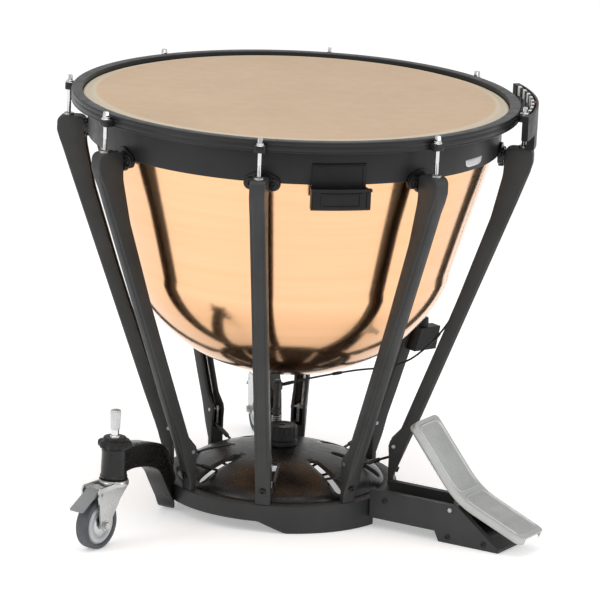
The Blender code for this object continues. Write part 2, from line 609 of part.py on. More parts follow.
# ---------------------------------------------------------------- casters
def caster(side_name, sleeve, heading):
    """Hand wheel, stem, swivelling fork, wheel and brake lever of one caster."""
    turn = math.radians(heading)
    along = Vector((math.cos(turn), math.sin(turn), 0))
    across = Vector((-math.sin(turn), math.cos(turn), 0))
    origin = Vector((*sleeve, 0))

    def place(a, z, t):
        return tuple(origin + along * a + across * t + Vector((0, 0, z)))

    lobes, radius, depth = 8, 0.0335, 0.0035
    rim = []
    for k in range(lobes * 4):
        a = math.tau * k / (lobes * 4)
        r = radius - depth * (0.5 - 0.5 * math.cos(a * lobes))
        rim.append((sleeve[0] + r * math.cos(a), sleeve[1] + r * math.sin(a)))
    wheel = prism(rim, SLEEVE[1] + GAP, 0.2150, flat)
    keep(cut(wheel, stem_bore(sleeve)), f"caster_{side_name}_handwheel", *BLACK, pivot=(*sleeve, 0.205))

    stem = [(0, 0.2690), (0.0125, 0.2690), (0.0145, 0.2670), (0.0145, 0.2480), (STEM_RADIUS, 0.2460),
            (STEM_RADIUS, FORK_TOP + 0.0005), (0.0060, FORK_TOP + 0.0005), (0.0060, 0.1150), (0, 0.1150)]
    keep(turned(stem, 20, sleeve), f"caster_{side_name}_stem", *CHROME, pivot=(*sleeve, 0.132))

    race = [(0, 0.1190), (0.0290, 0.1190), (0.0290, 0.1290), (0.0260, FORK_TOP), (0, FORK_TOP)]
    plate = turned(race, 24, sleeve)
    cheek = [(-0.020, 0.1285), (0.068, 0.1270), (0.073, 0.1190), (0.063, 0.048), (0.050, 0.038),
             (0.037, 0.048), (0.004, 0.096), (-0.020, 0.1195)]
    cheeks = [prism(cheek, t, t + 0.0035, place) for t in (-0.0225, 0.0190)]
    axle = rod([place(TRAIL, WHEEL_RADIUS, -0.0245), place(TRAIL, WHEEL_RADIUS, 0.0245)], 0.0042, 12)
    joined(plate, *cheeks, axle)
    king = turned([(0, 0.10), (0.0064, 0.10), (0.0064, 0.14), (0, 0.14)], 16, sleeve)
    lever_pin = (0.0630, 0.1130)
    pin_bore = rod([place(*lever_pin, -0.03), place(*lever_pin, 0.03)], 0.0033, 10)
    keep(cut(plate, king, pin_bore), f"caster_{side_name}_fork", *CHROME, pivot=(*sleeve, 0.120))

    face = [(0.0046, WHEEL_HALF), (0.0300, WHEEL_HALF - 0.002), (0.0420, WHEEL_HALF),
            (0.0475, WHEEL_HALF - 0.001), (WHEEL_RADIUS, WHEEL_HALF - 0.005)]
    disc = turned(face + [(r, -z) for r, z in reversed(face)], 28)
    turned_up = Matrix.Translation(place(TRAIL, WHEEL_RADIUS, 0)) @ Matrix.Rotation(turn, 4, "Z")
    disc.data.transform(turned_up @ Matrix.Rotation(-math.pi / 2, 4, "X"))
    keep(disc, f"caster_{side_name}_wheel", *GREY, pivot=place(TRAIL, WHEEL_RADIUS, 0))

    blade = [(0.0570, 0.1085), (0.0685, 0.1085), (0.0690, 0.1115), (0.1100, 0.0872), (0.1160, 0.0868),
             (0.1150, 0.0912), (0.0660, 0.1200), (0.0570, 0.1215)]
    lever = prism(blade, -0.0150, 0.0150, place)
    pin = rod([place(*lever_pin, -0.0222), place(*lever_pin, 0.0222)], 0.0030, 10)
    keep(joined(lever, pin), f"caster_{side_name}_brake", *GREY, pivot=place(*lever_pin, 0))


def build():
    clear_scene()
    axis = bpy.data.objects.new("drum_axis", None)
    axis.location = (AXIS_X, AXIS_Y, 0)
    bpy.context.scene.collection.objects.link(axis)

    bowl()
    drum_head()
    counter_hoop()
    bearing_ring()
    for index, azimuth in enumerate(AZIMUTHS, 1):
        tension_rod(index, azimuth)
        strut(index, azimuth)
        bell_crank(index, azimuth)
        link_rod(index, azimuth)
    crosshead()
    rocker()
    base_casting()
    caster_arm("left", 8.08, 0.275)
    caster_arm("right", 215.1, 0.230)
    pedal_channel()
    pedal()
    pedal_rod()
    tension_knob()
    gauge_housing()
    gauge_pointer()
    gauge_cable()
    carry_handle()
    adjuster_box()
    for side_name, (sleeve, heading) in CASTERS.items():
        caster(side_name, sleeve, heading)


build()
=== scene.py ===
# %% [markdown]
# # A pedal timpano
# A timpano is a copper kettle with a skin stretched over it, hung in a ring of leaning struts.
# A pedal pulls the hoop down and the note goes up. The solids that move are packed already, so
# this lesson makes only what the eye sees: every new surface is an array of points worked out with
# numpy, and it is tied to the solid body that it moves with.

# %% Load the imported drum
import math

import bmesh
import bpy
import numpy as np
from mathutils import Matrix, Vector


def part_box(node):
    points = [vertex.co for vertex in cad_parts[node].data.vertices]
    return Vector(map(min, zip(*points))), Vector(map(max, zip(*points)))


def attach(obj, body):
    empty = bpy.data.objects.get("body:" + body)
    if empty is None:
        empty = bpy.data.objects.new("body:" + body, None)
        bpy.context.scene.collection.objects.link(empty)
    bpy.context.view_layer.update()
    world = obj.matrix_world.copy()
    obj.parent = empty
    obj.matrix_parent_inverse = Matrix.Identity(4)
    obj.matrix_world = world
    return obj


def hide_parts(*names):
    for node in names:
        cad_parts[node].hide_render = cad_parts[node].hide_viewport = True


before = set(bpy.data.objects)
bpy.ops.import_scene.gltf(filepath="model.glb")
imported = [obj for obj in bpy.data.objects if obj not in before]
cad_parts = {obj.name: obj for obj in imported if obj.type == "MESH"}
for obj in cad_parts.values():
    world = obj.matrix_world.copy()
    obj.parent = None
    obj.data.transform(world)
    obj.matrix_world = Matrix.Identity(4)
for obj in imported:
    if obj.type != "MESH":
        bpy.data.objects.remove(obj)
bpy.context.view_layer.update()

TAU = math.tau
hoop_low, hoop_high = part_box("counter_hoop")
AXIS = np.array([(hoop_low.x + hoop_high.x) / 2, (hoop_low.y + hoop_high.y) / 2])

# %% [markdown]
# ## Points and faces
# Nearly everything on a drum is a surface of two parameters: how far round, and how far along an
# outline. Such a surface is a table of points with rows and columns, and its faces only join
# neighbours in the table. It could be made with Blender's Screw or Spin tools, but a table of
# points lets an outline change as it goes round, which the feet and the flutes below need.

# %% Tables of points, and the quads between them
def quads(rows, columns, rows_meet=False, columns_meet=True):
    """Each quad joins point (i, j) to (i, j+1), (i+1, j+1) and (i+1, j); the last may meet the first."""
    i = np.arange(rows if rows_meet else rows - 1)
    j = np.arange(columns if columns_meet else columns - 1)
    i, j = (a.ravel() for a in np.meshgrid(i, j, indexing="ij"))
    up, on = (i + 1) % rows, (j + 1) % columns
    return np.stack([i * columns + j, i * columns + on, up * columns + on, up * columns + j], axis=1)


def sheet_of(points, rows_meet=False, columns_meet=True):
    """A part, that is points and faces, from a table of points with shape (rows, columns, 3)."""
    rows, columns = points.shape[:2]
    return points.reshape(-1, 3), quads(rows, columns, rows_meet, columns_meet).tolist()


def capped(points):
    """A tube-like table, round in its columns, with one flat face on its first row and one on its last."""
    verts, faces = sheet_of(points)
    rows, columns = points.shape[:2]
    last = (rows - 1) * columns
    return verts, faces + [list(range(columns))[::-1], list(range(last, last + columns))]


print("a closed strip of 3 rows by 4 columns has", len(quads(3, 4)), "quads")

# %% Surfaces about the drum's axis
def radial(azimuth):
    """place(r, z, t): r out from the drum's axis on this azimuth, z up, and t sideways."""
    c, s = math.cos(math.radians(azimuth)), math.sin(math.radians(azimuth))

    def place(r, z, t=0.0):
        r, z, t = np.broadcast_arrays(np.asarray(r, float), z, t)
        return np.stack([AXIS[0] + r * c - t * s, AXIS[1] + r * s + t * c, z], axis=-1)
    return place


def turned(outline, segments=160, centre=(0.0, 0.0), ring=False):
    """Each (r, z) of the outline goes to (r cos a, r sin a, z) for every angle a round the centre."""
    line = np.asarray(outline, float)
    a = np.arange(segments) * TAU / segments
    x = AXIS[0] + centre[0] + line[:, :1] * np.cos(a)
    y = AXIS[1] + centre[1] + line[:, :1] * np.sin(a)
    z = np.broadcast_to(line[:, 1:2], x.shape)
    return sheet_of(np.stack([x, y, z], axis=-1), rows_meet=ring)


def slab(outline, low, high, place):
    """A flat outline of (a, b) points moved from t = low to t = high, with a face at each end."""
    flat = np.asarray(outline, float)
    rows = np.stack([place(flat[:, 0], flat[:, 1], t) for t in (low, high)])
    return capped(rows)


sample_ring = turned([(1, 0), (2, 0), (2, 1)], 8, ring=True)
print("a ring with 3 corners and 8 segments has", len(sample_ring[1]), "quads")

# %% Arcs and smooth lines
def arc(centre, radius, start, end, steps=8):
    """Points centre + radius (cos a, sin a) as a goes from start to end degrees."""
    a = np.radians(np.linspace(start, end, steps + 1))
    return np.stack([centre[0] + radius * np.cos(a), centre[1] + radius * np.sin(a)], axis=1)


def smooth_line(points, spans=10):
    """A Catmull-Rom curve: each span is the cubic whose end slopes are half the step between neighbours."""
    p = np.asarray(points, float)
    p = np.vstack([2 * p[0] - p[1], p, 2 * p[-1] - p[-2]])
    u = np.linspace(0, 1, spans, endpoint=False)[None, :, None]
    a, b, c, d = (p[k:len(p) - 3 + k, None, :] for k in range(4))
    curve = b + 0.5 * u * ((c - a) + u * ((2 * a - 5 * b + 4 * c - d) + u * (3 * b - a - 3 * c + d)))
    return np.vstack([curve.reshape(-1, p.shape[1]), p[-2]])


def even_line(points, count):
    """The same line with its points spread at equal distances along it."""
    p = np.asarray(points, float)
    run = np.concatenate([[0], np.cumsum(np.linalg.norm(np.diff(p, axis=0), axis=1))])
    at = np.linspace(0, run[-1], count)
    return np.stack([np.interp(at, run, p[:, k]) for k in range(p.shape[1])], axis=1)


print("a smooth line through 3 points gets", len(smooth_line([(0, 0), (1, 1), (2, 0)])), "points")

# %% Round bars, and parts turned to a direction
def tube(path, radius, sides=12):
    """A round bar: at each path point a circle stands square to the path, and each circle's
    first direction is the last one's with the part along the path taken out, so it never twists."""
    p = np.asarray(path, float)
    along = np.gradient(p, axis=0)
    along /= np.linalg.norm(along, axis=1, keepdims=True)
    side = np.cross(along[0], [0.0, 0.0, 1.0] if abs(along[0][2]) < 0.9 else [1.0, 0.0, 0.0])
    sides_of = []
    for t in along:
        side = side - t * (side @ t)
        side = side / np.linalg.norm(side)
        sides_of.append(side)
    u = np.array(sides_of)
    v = np.cross(along, u)
    a = -np.arange(sides) * TAU / sides
    r = np.broadcast_to(np.asarray(radius, float), (len(p),))[:, None, None]
    ring = u[:, None] * np.cos(a)[None, :, None] + v[:, None] * np.sin(a)[None, :, None]
    return capped(p[:, None] + r * ring)


def aimed(part, start, direction):
    """A part made about the local Z axis at the origin, turned so that Z follows direction, then moved."""
    turn = Vector(direction).to_track_quat("Z", "Y").to_matrix()
    return part[0] @ np.array(turn).T + np.asarray(start, float), part[1]


def local_turned(outline, segments=32, ring=False):
    """The same as turned(), but about the origin, ready for aimed()."""
    verts, faces = turned(outline, segments, ring=ring)
    return verts - np.array([AXIS[0], AXIS[1], 0.0]), faces


sample_bar = tube(np.outer(np.arange(9), [0, 0, 1.0]), 0.1)
print("a round bar along 9 points has", len(sample_bar[0]), "points")

# %% [markdown]
# ## From arrays to objects
# One helper joins parts into a mesh, closes the seams, points the faces outwards and ties the
# object to a body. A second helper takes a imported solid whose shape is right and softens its
# edges, because no cast or moulded edge is a perfect knife, and a small bevel catches the light.

# %% Join parts into a piece
def make(name, parts, finish, body, stands_for=(), bevel=0.0, sharp=38):
    """Stacks the parts' arrays into one mesh, and gives it a finish and a body."""
    verts, faces, at = [], [], 0
    for v, f in parts:
        verts.append(v)
        faces += [[k + at for k in face] for face in f]
        at += len(v)
    mesh = bpy.data.meshes.new(name)
    mesh.from_pydata(np.vstack(verts).tolist(), [], faces)
    return dress(name, mesh, finish, body, stands_for, bevel, sharp)


def dress(name, mesh, finish, body, stands_for, bevel, sharp):
    """Welds and orients a mesh, puts it in the scene, and ties it to its body and its solids."""
    bm = bmesh.new()
    bm.from_mesh(mesh)
    bmesh.ops.remove_doubles(bm, verts=bm.verts, dist=2e-6)
    bmesh.ops.dissolve_degenerate(bm, edges=bm.edges, dist=1e-7)
    bmesh.ops.recalc_face_normals(bm, faces=bm.faces)
    bm.to_mesh(mesh)
    bm.free()
    mesh.shade_smooth()
    mesh.set_sharp_from_angle(angle=math.radians(sharp))
    mesh.materials.clear()
    mesh.materials.append(finish)
    thing = bpy.data.objects.new(name, mesh)
    bpy.context.scene.collection.objects.link(thing)
    if bevel:
        soften(thing, bevel)
    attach(thing, body)
    if stands_for:
        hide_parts(*stands_for)
    return thing


print("pieces are welded, turned outwards, and tied to a body")

# %% Soft edges
def soften(thing, width, segments=2):
    """Bevels every edge that is sharper than 35 degrees; width is in metres."""
    edge = thing.modifiers.new("soft edges", "BEVEL")
    edge.width = width
    edge.segments = segments
    edge.limit_method = "ANGLE"
    edge.harden_normals = True
    edge.angle_limit = math.radians(35)


def softened(name, node, finish, body, width=0.0012, flat=1.5):
    """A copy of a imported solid, its triangles merged back into flat faces, with bevelled edges."""
    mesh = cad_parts[node].data.copy()
    bm = bmesh.new()
    bm.from_mesh(mesh)
    bmesh.ops.remove_doubles(bm, verts=bm.verts, dist=1e-5)
    bmesh.ops.dissolve_limit(bm, angle_limit=math.radians(flat), verts=bm.verts, edges=bm.edges)
    bm.to_mesh(mesh)
    bm.free()
    return dress(name, mesh, finish, body, (node,), width, 38)


print("packed solids that could be softened:", len(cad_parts))

# %% [markdown]
# ## Finishes
# Paint, powder coat, plating and rubber differ in three ways: their colour is never quite even,
# their gloss changes from place to place, and their surface has a grain of its own size. One
# helper makes those three from noise on Object coordinates, which every piece shares because all
# objects stand at the origin. Bitmap textures would do too, but noise has no seams and no edges.

# %% A finish from three noises
def finish_of(name, dark, light, rough=(0.3, 0.45), grain=900.0, height=0.00003, patch=9.0, metal=0.0,
              coat=0.0, stretch=(1.0, 1.0, 1.0), specular=0.5):
    """Colour runs from dark to light with a broad noise, roughness over its range with a middle
    noise, and a fine noise of the given grain (cells in a metre) lifts the surface by height metres."""
    material = bpy.data.materials.new(name)
    material.use_nodes = True
    tree = material.node_tree
    shader = tree.nodes["Principled BSDF"]
    shader.inputs["Metallic"].default_value = metal
    shader.inputs["Coat Weight"].default_value = coat
    shader.inputs["Coat Roughness"].default_value = 0.08
    shader.inputs["Specular IOR Level"].default_value = specular
    place = tree.nodes.new("ShaderNodeTexCoord")
    scaled = tree.nodes.new("ShaderNodeMapping")
    scaled.inputs["Scale"].default_value = stretch
    tree.links.new(place.outputs["Object"], scaled.inputs["Vector"])

    def noise(scale, detail):
        """Noise of this scale, in cells for each metre, on the mapped Object coordinates."""
        node = tree.nodes.new("ShaderNodeTexNoise")
        node.inputs["Scale"].default_value = scale
        node.inputs["Detail"].default_value = detail
        tree.links.new(scaled.outputs["Vector"], node.inputs["Vector"])
        return node.outputs["Fac"]

    colours = tree.nodes.new("ShaderNodeValToRGB")
    colours.color_ramp.elements[0].position = 0.3
    colours.color_ramp.elements[0].color = (*dark, 1)
    colours.color_ramp.elements[1].position = 0.7
    colours.color_ramp.elements[1].color = (*light, 1)
    tree.links.new(noise(patch, 5.0), colours.inputs["Fac"])
    tree.links.new(colours.outputs["Color"], shader.inputs["Base Color"])
    gloss = tree.nodes.new("ShaderNodeMapRange")
    gloss.inputs["From Min"].default_value = 0.3
    gloss.inputs["From Max"].default_value = 0.7
    gloss.inputs["To Min"].default_value = rough[0]
    gloss.inputs["To Max"].default_value = rough[1]
    tree.links.new(noise(patch * 6, 4.0), gloss.inputs["Value"])
    tree.links.new(gloss.outputs["Result"], shader.inputs["Roughness"])
    bump = tree.nodes.new("ShaderNodeBump")
    bump.inputs["Strength"].default_value = 1.0
    bump.inputs["Distance"].default_value = height
    tree.links.new(noise(grain, 2.0), bump.inputs["Height"])
    tree.links.new(bump.outputs["Normal"], shader.inputs["Normal"])
    return material


print("a finish mixes three noises: for colour, for gloss and for bump")

# %% Black paint and plastic
gloss_black = finish_of("gloss_black_enamel", (0.006, 0.006, 0.006), (0.013, 0.012, 0.012),
                        rough=(0.22, 0.34), grain=260, height=0.00005, specular=0.35)
powder_grey = finish_of("charcoal_powder_coat", (0.026, 0.027, 0.027), (0.039, 0.040, 0.039),
                        rough=(0.40, 0.54), grain=520, height=0.00011, specular=0.30)
satin_black = finish_of("satin_black_hoop_paint", (0.009, 0.009, 0.010), (0.015, 0.015, 0.016),
                        rough=(0.32, 0.44), grain=900, height=0.00003, specular=0.32)
ring_paint = finish_of("black_base_paint", (0.024, 0.025, 0.025), (0.036, 0.037, 0.037),
                       rough=(0.38, 0.52), grain=420, height=0.00008, specular=0.30)
moulded_black = finish_of("moulded_black_plastic", (0.006, 0.006, 0.007), (0.012, 0.012, 0.013),
                          rough=(0.36, 0.50), grain=700, height=0.00010, specular=0.28)
print("black finishes made")

# %% Plated and bare metal
chrome = finish_of("chrome_plate", (0.58, 0.58, 0.59), (0.70, 0.70, 0.71), rough=(0.08, 0.16),
                   grain=300, height=0.000004, metal=1.0)
zinc = finish_of("bright_zinc_plate", (0.50, 0.51, 0.51), (0.60, 0.61, 0.61), rough=(0.24, 0.34),
                 grain=420, height=0.00001, patch=26, metal=1.0)
plain_steel = finish_of("plain_steel", (0.30, 0.30, 0.31), (0.46, 0.46, 0.47), rough=(0.28, 0.45),
                        grain=600, height=0.00003, metal=1.0)
cast_alloy = finish_of("satin_cast_aluminium", (0.44, 0.45, 0.44), (0.52, 0.53, 0.52), rough=(0.38, 0.50),
                       grain=900, height=0.00006, patch=18, metal=0.85)
print("metal finishes made")

# %% Greys, rubber and small coloured parts
grey_plastic = finish_of("grey_plastic", (0.17, 0.18, 0.18), (0.23, 0.24, 0.24), rough=(0.40, 0.55),
                         grain=500, height=0.00008)
tyre_grey = finish_of("grey_tyre_rubber", (0.060, 0.066, 0.074), (0.088, 0.095, 0.103), rough=(0.50, 0.68),
                      grain=520, height=0.00010, patch=30, specular=0.35)
rim_grey = finish_of("pale_rim_plastic", (0.40, 0.42, 0.43), (0.50, 0.52, 0.53), rough=(0.35, 0.50),
                     grain=500, height=0.00006, patch=30)
cable_black = finish_of("black_cable_sheath", (0.008, 0.008, 0.008), (0.013, 0.013, 0.013),
                        rough=(0.35, 0.5), grain=1500, height=0.00006, specular=0.3)
pointer_red = finish_of("red_pointer_plastic", (0.52, 0.02, 0.02), (0.66, 0.03, 0.03),
                        rough=(0.3, 0.42), grain=700, height=0.00005)
tab_white = finish_of("white_note_tabs", (0.62, 0.62, 0.60), (0.74, 0.74, 0.72), rough=(0.35, 0.5),
                      grain=700, height=0.00005, patch=40)
badge_silver = finish_of("brushed_badge_metal", (0.50, 0.50, 0.51), (0.62, 0.62, 0.63), rough=(0.25, 0.40),
                         grain=300, height=0.00002, patch=30, metal=0.9, stretch=(1, 1, 14))
print("plain finishes:", len(bpy.data.materials))

# %% [markdown]
# ## Camera and daylight studio
# The view is fixed before any surface is judged, since a finish looks right or wrong only under
# its light. The camera stands well back with a long lens, a little above the hoop, and is rolled
# slightly. Polished copper shows the room, so a pale floor and a white room all round are what make
# the kettle glow. The floor glows a little of itself, so that it stays white to the edge of the
# picture. Three large soft lamps, at the left, at the right and above, draw the highlights.

# %% Camera
LENS_MM, FRAME_SHIFT = 306.6, 0.0207
EYE = (AXIS[0] - 8.5327, AXIS[1] - 5.0462, 2.9038)
HEADING, TILT, ROLL = (math.radians(v) for v in (-59.4, 75.92, 2.458))
camera = bpy.data.objects.new("camera", bpy.data.cameras.new("camera"))
bpy.context.scene.collection.objects.link(camera)
camera.data.sensor_width = 36.0
camera.data.lens = LENS_MM
camera.data.shift_x = FRAME_SHIFT
camera.data.clip_end = 100.0
camera.matrix_world = (Matrix.Translation(EYE) @ Matrix.Rotation(HEADING, 4, "Z")
                       @ Matrix.Rotation(TILT, 4, "X") @ Matrix.Rotation(ROLL, 4, "Z"))
bpy.context.scene.camera = camera
print("camera", EYE[2], "m above the floor, with a lens of", LENS_MM, "mm")

# %% Floor
FLOOR_REACH, FLOOR_DROP, FLOOR_GLOW = 14.0, 0.0005, 0.34
bpy.context.scene.view_settings.view_transform = "Standard"
floor_mesh = bpy.data.meshes.new("floor")
floor_corners = [(-FLOOR_REACH, -FLOOR_REACH, 0), (FLOOR_REACH, -FLOOR_REACH, 0),
                 (FLOOR_REACH, FLOOR_REACH, 0), (-FLOOR_REACH, FLOOR_REACH, 0)]
floor_mesh.from_pydata(floor_corners, [], [(0, 1, 2, 3)])
floor = bpy.data.objects.new("floor", floor_mesh)
floor.location.z = -FLOOR_DROP
bpy.context.scene.collection.objects.link(floor)
floor.data.materials.append(finish_of("pale_studio_floor", (0.86, 0.86, 0.86), (0.90, 0.90, 0.90),
                                      rough=(0.7, 0.8), grain=60, height=0.0, patch=1.0, specular=0.2))
paper = floor.data.materials[0].node_tree.nodes["Principled BSDF"]
paper.inputs["Emission Color"].default_value = (1, 1, 1, 1)
paper.inputs["Emission Strength"].default_value = FLOOR_GLOW
print("floor", 2 * FLOOR_REACH, "m across")

# %% White room: one strength lights the drum, the other is what the camera sees beyond the floor
ROOM_LIGHT, ROOM_SEEN = 0.74, 1.03
world = bpy.data.worlds.new("studio")
world.use_nodes = True
sky = world.node_tree.nodes["Background"]
sky.inputs["Color"].default_value = (1.0, 1.0, 1.0, 1)
ray = world.node_tree.nodes.new("ShaderNodeLightPath")
room = world.node_tree.nodes.new("ShaderNodeMapRange")
room.inputs["To Min"].default_value = ROOM_LIGHT
room.inputs["To Max"].default_value = ROOM_SEEN
world.node_tree.links.new(ray.outputs["Is Camera Ray"], room.inputs["Value"])
world.node_tree.links.new(room.outputs["Result"], sky.inputs["Strength"])
bpy.context.scene.world = world
print("room light", ROOM_LIGHT)

# %% Soft lamps


def lamp(name, place, aim, size, power):
    """A square soft lamp at place, its face turned to aim."""
    light = bpy.data.lights.new(name, "AREA")
    light.shape = "RECTANGLE"
    light.size, light.size_y = size
    light.energy = power
    thing = bpy.data.objects.new(name, light)
    thing.location = place
    thing.rotation_euler = (Vector(aim) - Vector(place)).to_track_quat("-Z", "Y").to_euler()
    bpy.context.scene.collection.objects.link(thing)


toward_eye = Vector((EYE[0] - AXIS[0], EYE[1] - AXIS[1], 0)).normalized()
to_right = Vector((-toward_eye.y, toward_eye.x, 0))
middle = Vector((AXIS[0], AXIS[1], 0.45))
lamp("left lamp", middle + toward_eye * 1.6 - to_right * 2.4 + Vector((0, 0, 1.5)), middle, (1.2, 2.4), 20)
lamp("right lamp", middle + toward_eye * 1.2 + to_right * 2.6 + Vector((0, 0, 1.3)), middle, (1.0, 2.2), 15)
lamp("top lamp", middle + toward_eye * 0.4 + Vector((0, 0, 3.0)), middle, (2.6, 2.6), 34)
print("camera", round((Vector(EYE) - middle).length, 2), "m from the drum")

# %% [markdown]
# ## The copper kettle
# A kettle is beaten and spun from one sheet, then polished and lacquered. Its side leans in, nearly
# straight, and rounds into a shallow bottom with a small vent hole. A sphere would look wrong; the
# outline is drawn once as a curve, and turned. The copper carries faint rings from spinning,
# so its noise is squeezed in height and left long round the bowl.

# %% Spun copper
copper = finish_of("polished_copper", (0.84, 0.49, 0.265), (0.87, 0.525, 0.30), rough=(0.11, 0.17),
                   grain=14, height=0.00002, patch=2.2, metal=1.0, coat=0.1, stretch=(1, 1, 34))
print("copper finish made")

# %% The kettle's outline
RIM_Z, RIM_R = 0.8315, 0.4000
SHOULDER_Z, SHOULDER_R = 0.500, 0.324
RISE, VENT_R, WALL = 0.220, 0.012, 0.0014
LIP_Z = RIM_Z - 0.0012
lean = smooth_line([(RIM_R, 0.7520), (0.3775, 0.676), (0.3505, 0.588), (SHOULDER_R, SHOULDER_Z)], 16)
# Below the shoulder, r = R cos(a)^0.84 and z = shoulder - rise sin(a)^1.4 as the angle a swings down.
swing = np.radians(np.linspace(7, 88, 52))
bottom = np.stack([SHOULDER_R * np.cos(swing) ** 0.84, SHOULDER_Z - RISE * np.sin(swing) ** 1.4], axis=1)
bottom = bottom[bottom[:, 0] > VENT_R * 1.6]
outside = np.vstack([[(RIM_R, LIP_Z)], lean, bottom, [(VENT_R, SHOULDER_Z - RISE)]])
print("kettle points down its side:", len(outside))

# %% The kettle, its inside one wall's thickness in from its outside
slope = np.gradient(outside, axis=0)
slope /= np.linalg.norm(slope, axis=1, keepdims=True)
inside = outside - WALL * np.stack([-slope[:, 1], slope[:, 0]], axis=1)
inside[0] = (RIM_R - WALL, LIP_Z)
rim_bead = arc((RIM_R - WALL / 2, LIP_Z), WALL / 2, 180, 0, 6)[1:-1]
make("copper_kettle", [turned(np.vstack([outside, inside[::-1], rim_bead]), 256, ring=True)], copper,
     "stand", ["bowl"])
print("kettle wall", WALL * 1000, "mm")

# %% [markdown]
# ## The skin
# The head is a polyester film with a milky tan colour. It lies flat over the bowl's rim, bends
# down a little past it, and ends in a rolled flesh hoop under the counter hoop, where the film
# is doubled and looks paler. A plain disc would lose that collar, so the outline is turned too,
# and the colour changes with the distance from the drum's axis.

# %% Film finish, coloured by radius
def film_finish():
    """Distance from the axis is the length of (x, y) once the axis is moved to the origin."""
    material = finish_of("tan_drum_film", (0.46, 0.325, 0.205), (0.50, 0.355, 0.227), rough=(0.40, 0.52),
                         grain=1400, height=0.00004, patch=5.0, specular=0.35)
    tree = material.node_tree
    shader = tree.nodes["Principled BSDF"]
    mottled = shader.inputs["Base Color"].links[0].from_socket
    place = tree.nodes.new("ShaderNodeTexCoord")
    centred = tree.nodes.new("ShaderNodeMapping")
    centred.inputs["Location"].default_value = (-AXIS[0], -AXIS[1], 0)
    centred.inputs["Scale"].default_value = (1, 1, 0)
    tree.links.new(place.outputs["Object"], centred.inputs["Vector"])
    distance = tree.nodes.new("ShaderNodeVectorMath")
    distance.operation = "LENGTH"
    tree.links.new(centred.outputs["Vector"], distance.inputs[0])
    collar = tree.nodes.new("ShaderNodeMapRange")
    collar.inputs["From Min"].default_value = 0.3925
    collar.inputs["From Max"].default_value = 0.4020
    tree.links.new(distance.outputs["Value"], collar.inputs["Value"])
    mix = tree.nodes.new("ShaderNodeMix")
    mix.data_type = "RGBA"
    mix.inputs["B"].default_value = (0.53, 0.455, 0.345, 1)
    tree.links.new(collar.outputs["Result"], mix.inputs["Factor"])
    tree.links.new(mottled, mix.inputs["A"])
    tree.links.new(mix.outputs["Result"], shader.inputs["Base Color"])
    shader.inputs["Subsurface Weight"].default_value = 0.08
    shader.inputs["Subsurface Radius"].default_value = (0.004, 0.002, 0.001)
    return material


print("the film's collar is coloured by its distance from the axis")

# %% The skin
HEAD_Z, FLESH_R = 0.8345, 0.4228
film_flat = np.stack([np.linspace(0, 0.394, 20), np.full(20, HEAD_Z)], axis=1)
film_collar = smooth_line([(0.3965, HEAD_Z), (0.4010, HEAD_Z - 0.0004), (0.4070, HEAD_Z - 0.0030),
                           (0.4130, HEAD_Z - 0.0052), (0.4180, HEAD_Z - 0.0052),
                           (0.4212, HEAD_Z - 0.0062), (FLESH_R, HEAD_Z - 0.0090)], 5)
film_under = [(FLESH_R, 0.8195), (0.4130, 0.8195), (0.4060, 0.8280), (0.4015, 0.8322), (0.3960, 0.8338),
              (0, 0.8338)]
make("drum_skin", [turned(np.vstack([film_flat, film_collar, film_under]), 200)], film_finish(), "stand",
     ["drum_head"])
print("skin", round(2 * FLESH_R, 3), "m across its flesh hoop")

# %% [markdown]
# ## Hoop, ears and band
# The counter hoop presses the skin down. Eight ears on it take the tension rods. Below it, a
# black band is bolted round the kettle and carries it on the struts. Both are turned outlines
# with rounded lips and one fine groove. Each ear is a small ring round its rod: its outer edge
# follows a superellipse, a curve between an oval and a rectangle.

# %% Ears as superellipses
STRUTS = [22.5 + 45 * k for k in range(8)]
ROD_R, EAR_TOP = 0.4565, 0.8295


def ear(azimuth, bore, inward, outward, sideways, low, high, power=4.0, edge=0.0012):
    """rho(a) = (|cos a / A|^n + |sin a / B|^n)^(-1/n), with A inward or outward; the bore is a circle."""
    a = np.arange(48) * TAU / 48
    reach_of = np.where(np.cos(a) < 0, inward, outward)
    rho = (np.abs(np.cos(a) / reach_of) ** power + np.abs(np.sin(a) / sideways) ** power) ** (-1 / power)
    rows = [(bore + 0 * a, low), (rho - edge, low), (rho, low + edge), (rho, high - edge),
            (rho - edge, high), (bore + 0 * a, high)]
    place = radial(azimuth)
    table = np.stack([place(ROD_R + r * np.cos(a), z, r * np.sin(a)) for r, z in rows])
    return sheet_of(table, rows_meet=True)


print("rods stand", ROD_R, "m from the axis")

# %% The hoop and its eight ears
hoop_outline = np.vstack([
    [(0.4240, 0.8155), (0.4237, 0.8170), (0.4237, 0.8362)],
    arc((0.4257, 0.8360), 0.0020, 180, 90, 4),
    arc((0.4428, 0.8358), 0.0022, 90, 0, 5),
    [(0.4450, 0.8300), (0.4444, 0.8292), (0.4450, 0.8284)],
    [(0.4450, 0.8195), (0.4444, 0.8188), (0.4450, 0.8180), (0.4450, 0.8165)],
    arc((0.4437, 0.8163), 0.0013, 0, -90, 3)])
hoop_parts = [turned(hoop_outline, 256, ring=True)]
hoop_parts += [ear(a, 0.0052, 0.0150, 0.0085, 0.0115, 0.8160, EAR_TOP) for a in STRUTS]
make("tension_hoop", hoop_parts, satin_black, "hoop_and_rods", ["counter_hoop"], sharp=50)
print("hoop outline:", len(hoop_outline), "points")

